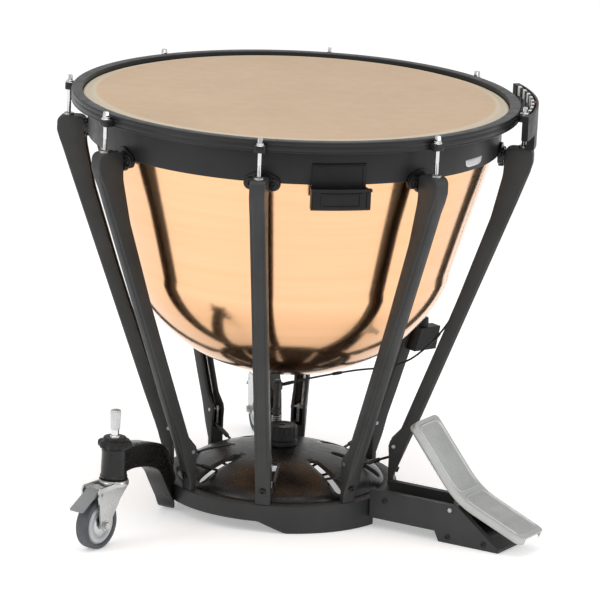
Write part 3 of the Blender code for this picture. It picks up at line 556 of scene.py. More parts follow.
# %% The band's outline
BAND_IN, BAND_OUT, BAND_LOW, BAND_HIGH = 0.4008, 0.4100, 0.7480, 0.8080
band_outline = np.vstack([
    [(BAND_IN, BAND_LOW), (0.4085, BAND_LOW)], arc((BAND_OUT - 0.0012, BAND_LOW + 0.0012), 0.0012, -90, 0, 4),
    arc((BAND_OUT - 0.0012, BAND_HIGH - 0.0012), 0.0012, 0, 90, 4), [(BAND_IN, BAND_HIGH)]])
band_parts = [turned(band_outline, 256, ring=True)]
print("band", round(BAND_HIGH - BAND_LOW, 3), "m high")

# %% A bracket at a strut
def bracket(azimuth):
    """A plate bolted to the band behind a strut's top: two round ends joined under a low arch."""
    place = radial(azimuth)
    ends, end_z, radius, arch_z = 0.0225, 0.7470, 0.0135, 0.7715
    arch = smooth_line([(ends + 0.0110, end_z + 0.0095), (ends, end_z + 0.0170), (0.0, arch_z),
                        (-ends, end_z + 0.0170), (-ends - 0.0110, end_z + 0.0095)], 6)
    left_end = arc((-ends, end_z), radius, 150, 290, 8)
    right_end = arc((ends, end_z), radius, 250, 390, 8)
    outline = np.vstack([arch, left_end, right_end])
    parts = [slab(outline, BAND_OUT - 0.0010, BAND_OUT + 0.0052, lambda t, z, r: place(r, z, t))]
    out = place(1.0, 0.0) - place(0.0, 0.0)
    for t in (-ends, ends):
        boss = [(0, 0.004), (0.0118, 0.004), (0.0118, 0.0085), (0.0106, 0.0098), (0.0062, 0.0098),
                (0.0058, 0.0122), (0.0034, 0.0126), (0.0030, 0.0095), (0, 0.0095)]
        parts.append(aimed(local_turned(boss, 28), place(BAND_OUT, end_z, t), out))
    neck = [(0, 0.0), (0.0190, 0.0), (0.0190, 0.0085), (0.0178, 0.0098), (0, 0.0098)]
    parts.append(aimed(local_turned(neck, 36), place(BAND_OUT - 0.001, 0.7425, 0), out))
    return parts


print("a bracket has", len(bracket(STRUTS[0])), "parts")

# %% Band and brackets in place
bracket_parts = [part for a in STRUTS for part in bracket(a)]
make("bowl_band", band_parts, satin_black, "stand", ["bearing_ring"])
make("band_brackets", bracket_parts, gloss_black, "stand", ["bearing_ring"], bevel=0.0006)

print("brackets:", len(STRUTS))

# %% A blank badge on the band
def on_band(azimuth, z, lift):
    """A point on the band at an azimuth in degrees, lifted off its surface."""
    a = np.radians(azimuth)
    r = BAND_OUT + lift
    return np.stack([AXIS[0] + r * np.cos(a), AXIS[1] + r * np.sin(a), z], axis=-1)


BADGE_AT, BADGE_HALF, BADGE_TOP, BADGE_DROP = -90.7, 4.4, 0.7710, 0.0150
across = np.linspace(-1, 1, 41)
lower = BADGE_TOP - BADGE_DROP * (1 - np.abs(across) ** 5) ** 0.35
down = np.linspace(0, 1, 9)[:, None]
badge_z = BADGE_TOP + (lower - BADGE_TOP) * down
badge_az = np.broadcast_to(BADGE_AT + BADGE_HALF * across, badge_z.shape)
dome_up = 0.0010 * (1 - across ** 6)[None, :] * (1 - (2 * down - 1) ** 6)
front = on_band(badge_az, badge_z, 0.0006 + dome_up)
back = on_band(badge_az, badge_z, 0.0001 + 0 * dome_up)
edge_of = np.concatenate([front, back[::-1]])
badge_part = sheet_of(edge_of, rows_meet=True, columns_meet=False)
make("blank_badge", [badge_part], badge_silver, "stand", ())
print("hoop, band, brackets and badge made")

# %% [markdown]
# ## Struts
# Each strut is a leaning casting, grooved on its inner side for the pull strap. Its outer side is
# a rounded ridge between two flanges. It could be carved from a block with Booleans, but a section
# that is carried from foot to crown gives rounder edges and cleaner faces: at every height z
# the section's depth follows the solid's own outline.

# %% The strut's two edges, as functions of height
OUTER_EDGE = np.array([(0.2320, 0.0565), (0.2320, 0.0750), (0.2825, 0.2030), (0.4510, 0.6550),
                       (0.4725, 0.7150), (0.4775, 0.7350), (0.4775, 0.7505)])
INNER_EDGE = np.array([(0.2200, 0.0565), (0.2200, 0.1200), (0.2180, 0.1350), (0.2215, 0.1470),
                       (0.2400, 0.1680), (0.3180, 0.3810), (0.3465, 0.4610), (0.4000, 0.6220),
                       (0.4195, 0.7080), (0.4205, 0.7250), (0.4205, 0.7505)])
GROOVE_BACK = np.array([(0.2365, 0.1000), (0.2770, 0.2030), (0.4455, 0.6550), (0.4665, 0.7220)])
CROWN_Z, CROWN_R, STRUT_HALF, GROOVE_HALF = 0.7505, 0.0140, 0.0150, 0.0095
print("strut edges have", len(OUTER_EDGE), "and", len(INNER_EDGE), "points")

# %% The strut's section, carried up
def strut_part(azimuth):
    """Rows climb in z. Each row is one closed section: ridge, flanks, inner lips and groove."""
    z = np.unique(np.concatenate([
        np.linspace(0.0565, CROWN_Z, 70), [0.0995, 0.1000, 0.7215, 0.7220],
        CROWN_Z + CROWN_R * np.sin(np.radians(np.linspace(0, 88, 9))), OUTER_EDGE[:, 1]]))
    over = np.sqrt(np.clip(1 - ((z - CROWN_Z) / CROWN_R) ** 2, 0, 1))
    shrink = np.where(z > CROWN_Z, CROWN_R * (1 - over), 0.0)
    outer = np.interp(z, OUTER_EDGE[:, 1], OUTER_EDGE[:, 0]) - shrink
    inner = np.interp(z, INNER_EDGE[:, 1], INNER_EDGE[:, 0]) + shrink
    back = np.interp(z, GROOVE_BACK[:, 1], GROOVE_BACK[:, 0])
    back = np.where((z > 0.0998) & (z < 0.7218), back, inner)
    plain = np.clip((0.150 - z) / 0.04, 0, 1) + np.clip((z - 0.690) / 0.04, 0, 1)
    ridge = 0.0040 * (1 - np.clip(plain, 0, 1))
    half = []
    for t, depth in ((0.0, 0.0), (0.0045, 0.04), (0.0078, 0.22), (0.0096, 0.62), (0.0100, 1.0)):
        half.append((np.full_like(z, t), outer - ridge * depth))
    for t, lip in ((0.0136, 0.0002), (0.0147, 0.0008), (STRUT_HALF, 0.0022)):
        half.append((np.full_like(z, t), outer - ridge - lip))
    for t, lip in ((STRUT_HALF, 0.0020), (0.0143, 0.0006), (0.0130, 0.0), (0.0105, 0.0)):
        half.append((np.full_like(z, t), inner + lip))
    half += [(np.full_like(z, GROOVE_HALF), inner + 0.0008 * (back > inner)),
             (np.full_like(z, GROOVE_HALF), np.maximum(back - 0.0012, inner)),
             (np.full_like(z, GROOVE_HALF - 0.0012), back), (np.zeros_like(z), back)]
    right = half + [(-t, r) for t, r in half[-2:0:-1]]
    place = radial(azimuth)
    table = np.stack([place(r, z, t) for t, r in right], axis=1)
    return capped(table)


print("a strut has", len(strut_part(STRUTS[0])[0]), "points")

# %% Eight struts
for k, azimuth in enumerate(STRUTS, 1):
    section_part = strut_part(azimuth)
    make(f"strut_arm_{k}", [section_part], powder_grey, "stand", [f"strut_{k}"], sharp=46)
print("strut section carried up", len(STRUTS), "struts")

# %% Screws at the foot of each strut, and a cup where its rod goes in
def cap_screw(radius=0.0058, height=0.0050):
    """A socket-head screw: the outline runs over a rounded rim and down into the socket."""
    return [(0, 0), (radius + 0.0022, 0), (radius + 0.0022, 0.0012), (radius, 0.0014),
            (radius, height - 0.0007), (radius - 0.0007, height), (radius * 0.55, height),
            (radius * 0.5, height - 0.0022), (0, height - 0.0022)]


screw_parts, cup_parts = [], []
for azimuth in STRUTS:
    place = radial(azimuth)
    normal = place(0.930, -0.366) - place(0.0, 0.0)
    screw_parts.append(aimed(local_turned(cap_screw(), 24), place(0.2352, 0.0860), normal))
    cup = [(0.0050, 0.7600), (0.0098, 0.7600), (0.0105, 0.7655), (0.0098, 0.7680), (0.0062, 0.7686),
           (0.0050, 0.7670)]
    centre = place(ROD_R, 0.0)[:2] - AXIS
    cup_parts.append(turned(cup, 28, centre, ring=True))
make("foot_screws", screw_parts, gloss_black, "stand", ())
make("rod_cups", cup_parts, plain_steel, "stand", ())
print("foot screws and cups:", len(screw_parts), len(cup_parts))

# %% [markdown]
# ## Tension rods
# A rod is the drum's tuning screw. It has a square head for the key, a washer that bears on the
# ear, a plain shank with a thread at its lower end, and it pulls a flat strap inside the strut.
# Thread is often faked with bump; here it is cut as real ridges, with the crest height a saw-tooth of
# z minus the turn angle, because it ends up in the mesh as well as in the picture.

# %% Where the cranks and the crosshead's hub are
CRANK_R, CRANK_Z = 0.2290, 0.1360
CRANK_OUT, CRANK_DOWN, STRAP_LEAN = 0.0120, 0.0240, 0.3720
HUB_R, HUB_Z = 0.0500, 0.0450
print("cranks turn", CRANK_R, "m from the axis")

# %% Thread and square head
def threaded(centre, radius, low, high, pitch=0.00125, depth=0.00035, sides=20):
    """r = radius - depth |2 frac(z / pitch - a / turn) - 1|: a triangle wave that climbs as it turns."""
    z = np.linspace(low, high, int((high - low) / pitch * 6) + 2)[:, None]
    a = np.arange(sides)[None, :] * TAU / sides
    wave = np.abs(2 * ((z / pitch - a / TAU) % 1) - 1)
    r = radius - depth * wave
    x, y = AXIS[0] + centre[0] + r * np.cos(a), AXIS[1] + centre[1] + r * np.sin(a)
    return capped(np.stack([x, y, z + 0 * a], axis=-1))


def square_head(place, low, high, half_low, half_high):
    """Four rows of a squarish loop |x|^6 + |y|^6 = 1, the top row drawn in for a chamfer."""
    a = np.arange(40) * TAU / 40
    rho = (np.abs(np.cos(a)) ** 6 + np.abs(np.sin(a)) ** 6) ** (-1 / 6)
    rows = [(half_low, low), (half_high, high - 0.0010), (half_high * 0.86, high)]
    return capped(np.stack([place(ROD_R + h * rho * np.cos(a), z, h * rho * np.sin(a)) for h, z in rows]))


print("10 mm of thread has", len(threaded((0, 0), 0.0042, 0.0, 0.010)[0]), "points")

# %% One tuning rod
def tuning_rod(azimuth):
    """Turned shank, thread, washer and flange, the square head, and the flat strap with its pin."""
    place = radial(azimuth)
    centre = place(ROD_R, 0.0)[:2] - AXIS
    shank = [(0, 0.8300), (0.0043, 0.8300), (0.0043, 0.7930), (0.0039, 0.7922), (0.0037, 0.7900),
             (0.0037, 0.7020), (0, 0.7010)]
    washer = [(0.0030, EAR_TOP + 0.0002), (0.0090, EAR_TOP + 0.0002), (0.0092, EAR_TOP + 0.0010),
              (0.0086, EAR_TOP + 0.0017), (0.0030, EAR_TOP + 0.0017)]
    flange = [(0.0030, EAR_TOP + 0.0017), (0.0078, EAR_TOP + 0.0017), (0.0076, EAR_TOP + 0.0038),
              (0.0058, EAR_TOP + 0.0050), (0.0030, EAR_TOP + 0.0050)]
    foot_r, foot_z, top_z, half = CRANK_R + CRANK_OUT, CRANK_Z, 0.712, 0.0042
    top_r = foot_r + (top_z - foot_z) * STRAP_LEAN
    strap_top = [(top_r + half, top_z), (top_r - half, top_z)]
    strap = np.vstack([arc((foot_r, foot_z), half, 160, 380, 8), strap_top])
    side = place(0.0, 0.0, 1.0) - place(0.0, 0.0, 0.0)
    pin = [(0, -0.0052), (0.0024, -0.0052), (0.0025, -0.0048), (0.0025, 0.0016), (0.0021, 0.0020),
           (0, 0.0020)]
    return [turned(shank, 20, centre), threaded(centre, 0.0042, 0.7700, 0.7900),
            turned(washer, 32, centre, ring=True), turned(flange, 32, centre, ring=True),
            square_head(place, EAR_TOP + 0.0045, 0.8446, 0.0050, 0.0045),
            slab(strap, -0.0078, -0.0036, place),
            aimed(local_turned(pin, 12), place(foot_r, foot_z), side)]


print("a tuning rod has", len(tuning_rod(STRUTS[0])), "parts")

# %% One link rod
def link(azimuth):
    """The bent wire from the crosshead to the crank, with a fat turnbuckle on its middle run."""
    place = radial(azimuth)
    beside, through, foot_z = 0.0061, -0.0036, CRANK_Z - CRANK_DOWN
    bend = 0.004
    path = [(HUB_R, HUB_Z, through), (HUB_R, HUB_Z, beside - bend),
            (HUB_R + 0.0012, HUB_Z + 0.0004, beside - 0.0012), (HUB_R + bend, HUB_Z + 0.0015, beside),
            (CRANK_R - bend, foot_z - 0.0015, beside),
            (CRANK_R - 0.0012, foot_z - 0.0004, beside - 0.0012),
            (CRANK_R, foot_z, beside - bend), (CRANK_R, foot_z, through)]
    wire = even_line(smooth_line([place(*p) for p in path], 6), 60)
    start, end = place(HUB_R, HUB_Z, beside), place(CRANK_R, foot_z, beside)
    barrel = [start + (end - start) * s for s in (0.70, 0.705, 0.72, 0.82, 0.835, 0.84)]
    return [tube(wire, 0.0027, 10), tube(barrel, [0.0030, 0.0044, 0.0047, 0.0047, 0.0044, 0.0030], 6)]


print("a link rod has", len(link(STRUTS[0])), "parts")

# %% Eight rods, cranks and links
for k, azimuth in enumerate(STRUTS, 1):
    make(f"tuning_rod_{k}", tuning_rod(azimuth), chrome, "hoop_and_rods", [f"tension_rod_{k}"])
    softened(f"crank_{k}", f"bell_crank_{k}", plain_steel, f"bell_crank_{k}", 0.0005)
    make(f"link_wire_{k}", link(azimuth), gloss_black, f"link_rod_{k}", [f"link_rod_{k}"])
print("rods, cranks and links made")

# %% [markdown]
# ## The base
# The cast base is a ring with a low slotted dome inside it. The ring is a turned outline whose
# bottom edge rises and falls with the angle: it reaches the floor under the front, ramps up
# beside each foot, and is notched where the pedal's rod passes. The dome is a surface left
# open at the slots and then thickened, which is simpler than cutting slots out of a solid.

# %% The ring, its bottom edge a function of angle
RING_R, LEDGE, SKIRT, RING_IN = 0.2350, 0.0560, 0.0220, 0.2190


def bottom_edge(angle):
    """Height of the ring's lower edge in metres at an angle in degrees; smooth ramps end each foot."""
    def foot(start, end, ramp_in, ramp_out):
        """1 between start and end degrees, rising over ramp_in and falling over ramp_out."""
        return np.clip((angle - start) / ramp_in, 0, 1) * np.clip((end - angle) / ramp_out, 0, 1)
    feet = np.clip(foot(-159.5, -94, 13.5, 1.5) + foot(-86, -20.5, 1.5, 13.5), 0, 1)
    height = SKIRT * (1 - feet)
    notch_half, notch_top = 6.05, 0.0480
    return np.where(np.abs(angle + 90) < notch_half, notch_top, height)


print("ring's edge under the front:", float(bottom_edge(np.array([-45.0]))[0]), "m above the floor")

# %% The ring as a table of points
angles = np.unique(np.concatenate([np.linspace(-180, 180, 241)[:-1], [-96.06, -96.04, -83.96, -83.94]]))
edge_z = bottom_edge(angles)
ring_rows = [(0.2080, 0.0500), (0.2082, LEDGE - 0.0006), (0.2092, LEDGE), (RING_R - 0.0022, LEDGE),
             (RING_R - 0.0007, LEDGE - 0.0006), (RING_R, LEDGE - 0.0022), (RING_R, 0.0505)]
table = [np.stack([np.full_like(angles, r), np.full_like(angles, z)], axis=-1) for r, z in ring_rows]
for r, lift in ((RING_R, 0.0012), (RING_R - 0.0012, 0.0), (RING_IN, 0.0)):
    table.append(np.stack([np.full_like(angles, r), np.minimum(edge_z + lift, 0.0492)], axis=-1))
for r, z in ((RING_IN, 0.0495), (0.2070, 0.0495)):
    table.append(np.stack([np.full_like(angles, r), np.full_like(angles, z)], axis=-1))
table = np.stack(table)
turn = np.radians(angles)
ring_points = np.stack([AXIS[0] + table[..., 0] * np.cos(turn), AXIS[1] + table[..., 0] * np.sin(turn),
                        table[..., 1]], axis=-1)
make("base_ring", [sheet_of(ring_points, rows_meet=True)], ring_paint, "stand", ["base_casting"],
     sharp=32)
print("ring table:", ring_points.shape[:2])

# %% The dome's slots
DOME_R, DOME_EDGE, DOME_TOP = 0.2120, 0.0500, 0.1180
SLOT_HALF, SLOT_IN, SLOT_OUT = 0.0098, 0.1010, 0.2020


def slot_half(r):
    """Half the slot's width: constant, but a half circle at each end."""
    inward = np.clip(SLOT_IN + SLOT_HALF - r, 0, SLOT_HALF)
    outward = np.clip(r - (SLOT_OUT - SLOT_HALF), 0, SLOT_HALF)
    return np.sqrt(np.clip(SLOT_HALF ** 2 - np.maximum(inward, outward) ** 2, 0, None))


print("a slot is", 2 * SLOT_HALF, "m wide and", round(SLOT_OUT - SLOT_IN, 3), "m long")

# %% The dome's grid: rows crowd at the ends of the slots, and columns follow the slots' sides
ends = SLOT_HALF * (1 - np.cos(np.radians(np.linspace(0, 90, 7))))
crown_rows = [0.0075, 0.012, 0.019, 0.021, 0.03, 0.045, 0.06, 0.075, 0.09]
rim_rows = [0.2045, 0.2070, 0.2090, 0.2099]
dome_r = np.unique(np.round(np.concatenate([
    crown_rows, SLOT_IN + ends, np.linspace(0.114, 0.188, 12), SLOT_OUT - ends, rim_rows]), 6))
middle_angle = np.degrees(np.arctan2(np.maximum(slot_half(dome_r), 0.0), dome_r))
steady = np.degrees(np.arctan2(SLOT_HALF, np.maximum(dome_r, 0.060)))
edge_angle = np.where((dome_r > SLOT_IN - 1e-6) & (dome_r < SLOT_OUT + 1e-6), middle_angle, steady)
near = np.stack([edge_angle * s for s in (-1.0, -0.5, 0.0, 0.5, 1.0)], axis=1)
far_side = edge_angle[:, None] + (22.5 - edge_angle[:, None]) * np.linspace(0, 1, 7)[None, 1:-1]
sector_angles = np.concatenate([-far_side[:, ::-1], near, far_side, np.full((len(dome_r), 1), 22.5)], axis=1)
columns = sector_angles.shape[1]
dome_angles = np.concatenate([sector_angles + a for a in STRUTS], axis=1)
# The dome's height: edge + (top - edge) (1 - (r / R)^2.1)^0.625
dome_z = DOME_EDGE + (DOME_TOP - DOME_EDGE) * (1 - (dome_r / DOME_R) ** 2.1) ** 0.625
turn = np.radians(dome_angles)
dome_points = np.stack([AXIS[0] + dome_r[:, None] * np.cos(turn), AXIS[1] + dome_r[:, None] * np.sin(turn),
                        np.broadcast_to(dome_z[:, None], turn.shape)], axis=-1)
print("dome grid:", dome_points.shape[:2])

# %% Leave the slots open, then thicken the dome
around = dome_angles.shape[1]
dome_quads = quads(len(dome_r), around)
row_of, column_of = dome_quads[:, 0] // around, dome_quads[:, 0] % around % columns
in_slot = ((column_of >= 5) & (column_of < 9) & (dome_r[row_of] > SLOT_IN - 1e-6)
           & (dome_r[row_of] < SLOT_OUT - 1e-6))
dome = make("base_dome", [(dome_points.reshape(-1, 3), dome_quads[~in_slot].tolist())], gloss_black, "stand",
            ["base_casting"], sharp=60)
skin = dome.modifiers.new("thickness", "SOLIDIFY")
skin.thickness = 0.0060
skin.offset = -1
print("dome quads:", len(dome_quads), "of which in slots:", int(in_slot.sum()))

# %% Centre boss and stud
boss = [(0.0, 0.1150), (0.0225, 0.1150), (0.0222, 0.1182), (0.0210, 0.1190), (0.0085, 0.1193), (0, 0.1193)]
stud = [(0, 0.0130), (0.0052, 0.0130), (0.0060, 0.0140), (0.0060, 0.1190), (0, 0.1190)]
THREAD_FROM, STUD_TOP = 0.1190, 0.1565
boss_parts = [turned(boss, 64), turned(stud, 24), threaded((0, 0), 0.0059, THREAD_FROM, STUD_TOP)]
make("centre_boss", boss_parts, plain_steel, "stand", ["base_casting"])
print("stud reaches", STUD_TOP, "m")

# %% The cable's post, and the spring round it
POST_X, POST_Y = 0.0360, 0.0360
SPRING_TURNS, SPRING_R = 9, 0.0088


def upright(x, y, z):
    """A point x and y from the drum's axis, at height z."""
    x, y, z = np.broadcast_arrays(np.asarray(x, float), y, z)
    return np.stack([AXIS[0] + x, AXIS[1] + y, z], axis=-1)


def square_bar(half, low, high, corner=0.0016):
    """A post with rounded corners: four quarter circles, moved up from low to high."""
    reach = half - corner
    quarters = ((1, 1, 0), (-1, 1, 90), (-1, -1, 180), (1, -1, 270))
    plan = np.vstack([arc((POST_X + sx * reach, POST_Y + sy * reach), corner, a, a + 90, 4)
                      for sx, sy, a in quarters])
    return slab(plan, low, high, upright)


post_parts = [square_bar(0.0120, 0.1050, 0.1255), square_bar(0.0055, 0.1250, 0.2390),
              square_bar(0.0078, 0.1700, 0.1790), square_bar(0.0078, 0.2180, 0.2340)]
spring_turns = np.linspace(0, SPRING_TURNS, 181)
spring_x = POST_X - 0.0005 + SPRING_R * np.cos(TAU * spring_turns)
spring_y = POST_Y + SPRING_R * np.sin(TAU * spring_turns)
spring_z = 0.1300 + 0.0350 * spring_turns / SPRING_TURNS
spring = np.stack([spring_x, spring_y, spring_z], axis=1) + np.array([AXIS[0], AXIS[1], 0])
make("cable_post", post_parts, gloss_black, "stand", ["base_casting"], bevel=0.0006)
make("post_spring", [tube(spring, 0.0009, 8)], plain_steel, "stand", ())
print("spring turns:", SPRING_TURNS)

# %% [markdown]
# ## Caster arms
# Two flat-sided arms curve up from the ring to the casters. To save metal, each side is
# sunk between two lips, one along its lower edge and one along its upper edge. The arm is a
# table of cross-sections: each one runs from a point on the lower edge to its partner on the upper
# edge, so the lips follow both curves. Where the arm meets the ring, its points are pushed out to
# the ring's own radius, which gives the end a hollow that fits it.

# %% The arm, from its two edges
CASTERS = {"left": ((-0.4590, 0.1050), 175.0), "right": ((0.3810, 0.2680), 45.0)}
ARM_HEADING = {"left": 8.08, "right": 215.1}
ARM_STRETCH = {"left": 1.0, "right": 0.230 / 0.275}
ARM_UNDER = [(0.000, 0.1410), (0.050, 0.1400), (0.110, 0.1290), (0.150, 0.1170), (0.182, 0.1000),
             (0.210, 0.0680), (0.243, 0.0300), (0.262, 0.0060), (0.290, 0.0060)]
ARM_OVER = [(0.000, 0.1900), (0.045, 0.1900), (0.110, 0.1790), (0.165, 0.1650), (0.205, 0.1480),
            (0.230, 0.1200), (0.247, 0.0900), (0.264, 0.0700), (0.290, 0.0640)]
ARM_HALF, RECESS = 0.0190, 0.0048


def arm_beam(name):
    """Point = lower + share (upper - lower), at a distance from the middle plane that each share states."""
    under, over = smooth_line(ARM_UNDER, 8), smooth_line(ARM_OVER, 8)
    sunk = ARM_HALF - RECESS
    right = [(0.000, 0.0165), (0.010, 0.0182), (0.035, ARM_HALF), (0.150, ARM_HALF), (0.185, sunk),
             (0.855, sunk), (0.885, ARM_HALF), (0.965, ARM_HALF), (0.990, 0.0182), (1.000, 0.0165)]
    section = right + [(share, -t) for share, t in right[::-1]]
    (x0, y0), turn = CASTERS[name][0], math.radians(ARM_HEADING[name])
    columns = []
    for share, t in section:
        p, z = (under + share * (over - under)).T
        p = p * ARM_STRETCH[name]
        x = x0 + p * math.cos(turn) - t * math.sin(turn)
        y = y0 + p * math.sin(turn) + t * math.cos(turn)
        push = np.maximum(1.0, (RING_R + 0.0003) / np.hypot(x, y))
        columns.append(upright(x * push, y * push, z))
    return capped(np.stack(columns, axis=1))


print("an arm is", 2 * ARM_HALF, "m wide")

# %% Arms and sleeves in place
SLEEVE_LOW, SLEEVE_HIGH, STEM_R = 0.1330, 0.1940, 0.0100
sleeve_outline = [(STEM_R + 0.0005, SLEEVE_LOW), (0.0262, SLEEVE_LOW), (0.0270, SLEEVE_LOW + 0.0008),
                  (0.0270, 0.1380), (0.0258, 0.1392), (0.0246, 0.1850), (0.0254, 0.1862), (0.0254, 0.1925),
                  (0.0246, SLEEVE_HIGH), (STEM_R + 0.0005, SLEEVE_HIGH)]
for name, (centre, heading) in CASTERS.items():
    arm_name = f"caster_arm_{name}"
    sleeve_part = turned(sleeve_outline, 56, centre, ring=True)
    make(f"{name}_arm_beam", [arm_beam(name)], gloss_black, "stand", [arm_name])
    make(f"{name}_stem_sleeve", [sleeve_part], gloss_black, "stand", [arm_name])
print("caster arms:", len(CASTERS))

# %% [markdown]
# ## Pedal channel
# The outrigger is a folded trough that carries the pedal. Its solid is already right, so a copy
# is softened, and the screws that hold its foot are added as turned pieces.

# %% Channel and its screws
softened("pedal_trough", "pedal_channel", ring_paint, "stand", 0.0014)
CHANNEL_HALF, PIVOT_Y, PIVOT_Z = 0.0450, -0.4180, 0.0680
channel_screws = []
for side in (-1, 1):
    for y, z in ((-0.4150, 0.0125), (-0.4960, 0.0125), (-0.2700, 0.0600)):
        start = (AXIS[0] + side * CHANNEL_HALF, AXIS[1] + y, z)
        channel_screws.append(aimed(local_turned(cap_screw(0.0042, 0.0034), 20), start, (side, 0, 0)))
make("channel_screws", channel_screws, gloss_black, "stand", ())
print("channel screws:", len(channel_screws))

# %% The ends of the pedal's pivot
pivot_caps = []
for side in (-1, 1):
    start = (AXIS[0] + side * (CHANNEL_HALF - 0.0004), AXIS[1] + PIVOT_Y, PIVOT_Z)
    cap = [(0, 0.0006), (0.0040, 0.0006), (0.0046, 0.0010), (0.0044, 0.0018), (0.0020, 0.0024), (0, 0.0025)]
    pivot_caps.append(aimed(local_turned(cap, 24), start, (side, 0, 0)))
make("pivot_ends", pivot_caps, plain_steel, "pedal", ())
print("pivot ends:", len(pivot_caps))

# %% [markdown]
# ## The footplate
# The pedal is one aluminium casting, bent below the middle. The foot rests on two fields of fine
# ribs, each framed by a raised bead, and the edge turns down into a skirt. The plate is a height
# added to a bent strip: ribs are a cosine along the plate, and the bead is a bump of the distance
# to a rounded rectangle, so both are real relief.

# %% Plate relief
HEEL, BEND, TOE = (-0.584, 0.041), (-0.439, 0.100), (-0.330, 0.232)
PEDAL_HALF, PEDAL_DROP, PEDAL_SKIN = 0.0470, 0.0180, 0.0060


def plate_line(count):
    """The plate's middle line from heel to toe; the corner at the bend is rounded over 40 mm each way."""
    heel, bend, toe = (np.array(p) for p in (HEEL, BEND, TOE))
    back = bend + (heel - bend) / np.linalg.norm(heel - bend) * 0.04
    on = bend + (toe - bend) / np.linalg.norm(toe - bend) * 0.04
    u = np.linspace(0, 1, 14)[:, None]
    corner = back * (1 - u) ** 2 + 2 * bend * u * (1 - u) + on * u ** 2
    return even_line(np.vstack([heel, corner, toe]), count)


def rounded_box_distance(s, t, middle, half_s, half_t, corner):
    """Signed distance to a rounded rectangle: |q| outside its corner box, minus the corner radius."""
    q = np.stack(np.broadcast_arrays(np.abs(s - middle) - half_s + corner, np.abs(t) - half_t + corner))
    return np.linalg.norm(np.maximum(q, 0), axis=0) + np.minimum(q.max(axis=0), 0) - corner


print("the plate's ends and middle:", plate_line(3).round(3).tolist())

# %% The strip's line and its width
line = plate_line(420)
run = np.concatenate([[0], np.cumsum(np.linalg.norm(np.diff(line, axis=0), axis=1))])
along = np.gradient(line, axis=0)
along /= np.linalg.norm(along, axis=1, keepdims=True)
up = np.stack([-along[:, 1], along[:, 0]], axis=1)
LENGTH = run[-1]
s = run[:, None]
end_round = np.minimum(np.clip(s / 0.016, 0, 1), np.clip((LENGTH - s) / 0.012, 0, 1))
half_width = PEDAL_HALF - 0.0006 - 0.0130 * (1 - np.sqrt(1 - (1 - end_round) ** 2))
v = np.linspace(-1, 1, 61)[None, :]
t = half_width * v
print("footplate", round(LENGTH * 1000), "mm along its top")

# %% Two ribbed fields, each framed by a bead
FIELDS = ((0.0800, 0.0700), (0.2390, 0.0770))
relief = np.zeros((len(run), v.shape[1]))
for centre_s, half_s in FIELDS:
    away = rounded_box_distance(s, t, centre_s, half_s, 0.0385, 0.0140)
    relief += 0.0016 * np.exp(-(away / 0.0012) ** 2)
    inside_field = np.clip((-away - 0.0030) / 0.0012, 0, 1)
    relief += inside_field * (-0.0005 + 0.00055 * np.cos(TAU * s / 0.0032))
crown = -0.0012 * np.clip((np.abs(v) - 0.93) / 0.07, 0, 1) ** 2
top_height = -0.0020 + relief + crown
print("relief from rib bottom to bead:", round(float(np.ptp(relief)) * 1000, 2), "mm")

# %% Close the strip with a skirt
loops = [(t[:, k], top_height[:, k]) for k in range(v.shape[1])]
flank = half_width[:, 0]
skirt_steps = ((0.0006, 0.0032), (0.0006, 0.0120), (0.0002, 0.0170), (-0.0012, PEDAL_DROP),
               (-0.0040, PEDAL_DROP), (-0.0048, 0.0172), (-0.0048, PEDAL_SKIN))
for offset, depth in skirt_steps:
    loops.append((flank + offset, np.full_like(flank, -depth)))
loops += [(-w, h) for w, h in loops[:-8:-1]]
plate_points = np.stack([
    np.stack([AXIS[0] + w, AXIS[1] + line[:, 0] + up[:, 0] * h, line[:, 1] + up[:, 1] * h], axis=-1)
    for w, h in loops], axis=1)
make("footplate", [capped(plate_points)], cast_alloy, "pedal", ["pedal"], sharp=50)
print("footplate table:", plate_points.shape[:2])

# %% Lug and pin under the plate
def across_x(y, z, x):
    """A point y from the drum's axis and z up, moved x across the pedal."""
    y, z, x = np.broadcast_arrays(np.asarray(y, float), z, x)
    return np.stack([AXIS[0] + x, AXIS[1] + y, z], axis=-1)


lug_front = [(PIVOT_Y - 0.012, PIVOT_Z + 0.0345), (PIVOT_Y - 0.0095, PIVOT_Z),
             (PIVOT_Y - 0.0045, PIVOT_Z - 0.012)]
lug_back = [(PIVOT_Y + 0.0045, PIVOT_Z - 0.012), (PIVOT_Y + 0.0095, PIVOT_Z),
            (PIVOT_Y + 0.012, PIVOT_Z + 0.0600)]
lug_outline = np.vstack([lug_front, arc((PIVOT_Y, PIVOT_Z - 0.0340), 0.0070, 180, 360, 10), lug_back])
pin = [(0, -0.0446), (0.0044, -0.0446), (0.0048, -0.0442), (0.0048, 0.0442), (0.0044, 0.0446), (0, 0.0446)]
lug_part = slab(lug_outline, -0.012, 0.012, across_x)
pin_part = aimed(local_turned(pin, 24), (AXIS[0], AXIS[1] + PIVOT_Y, PIVOT_Z), (1, 0, 0))
make("pedal_lug", [lug_part], cast_alloy, "pedal", ["pedal"], bevel=0.001)
make("pedal_pin", [pin_part], plain_steel, "pedal", ["pedal"])
print("pedal pin", round(pin[-1][1] * 2, 4), "m long")

# %% [markdown]
# ## Tension knob
# The fluted knob on the centre stud sets how hard the pedal feels. Its radius is a function of
# both height and angle: the outline sets the size, and a rounded wave cuts the flutes, fading
# out towards the top and bottom edge.

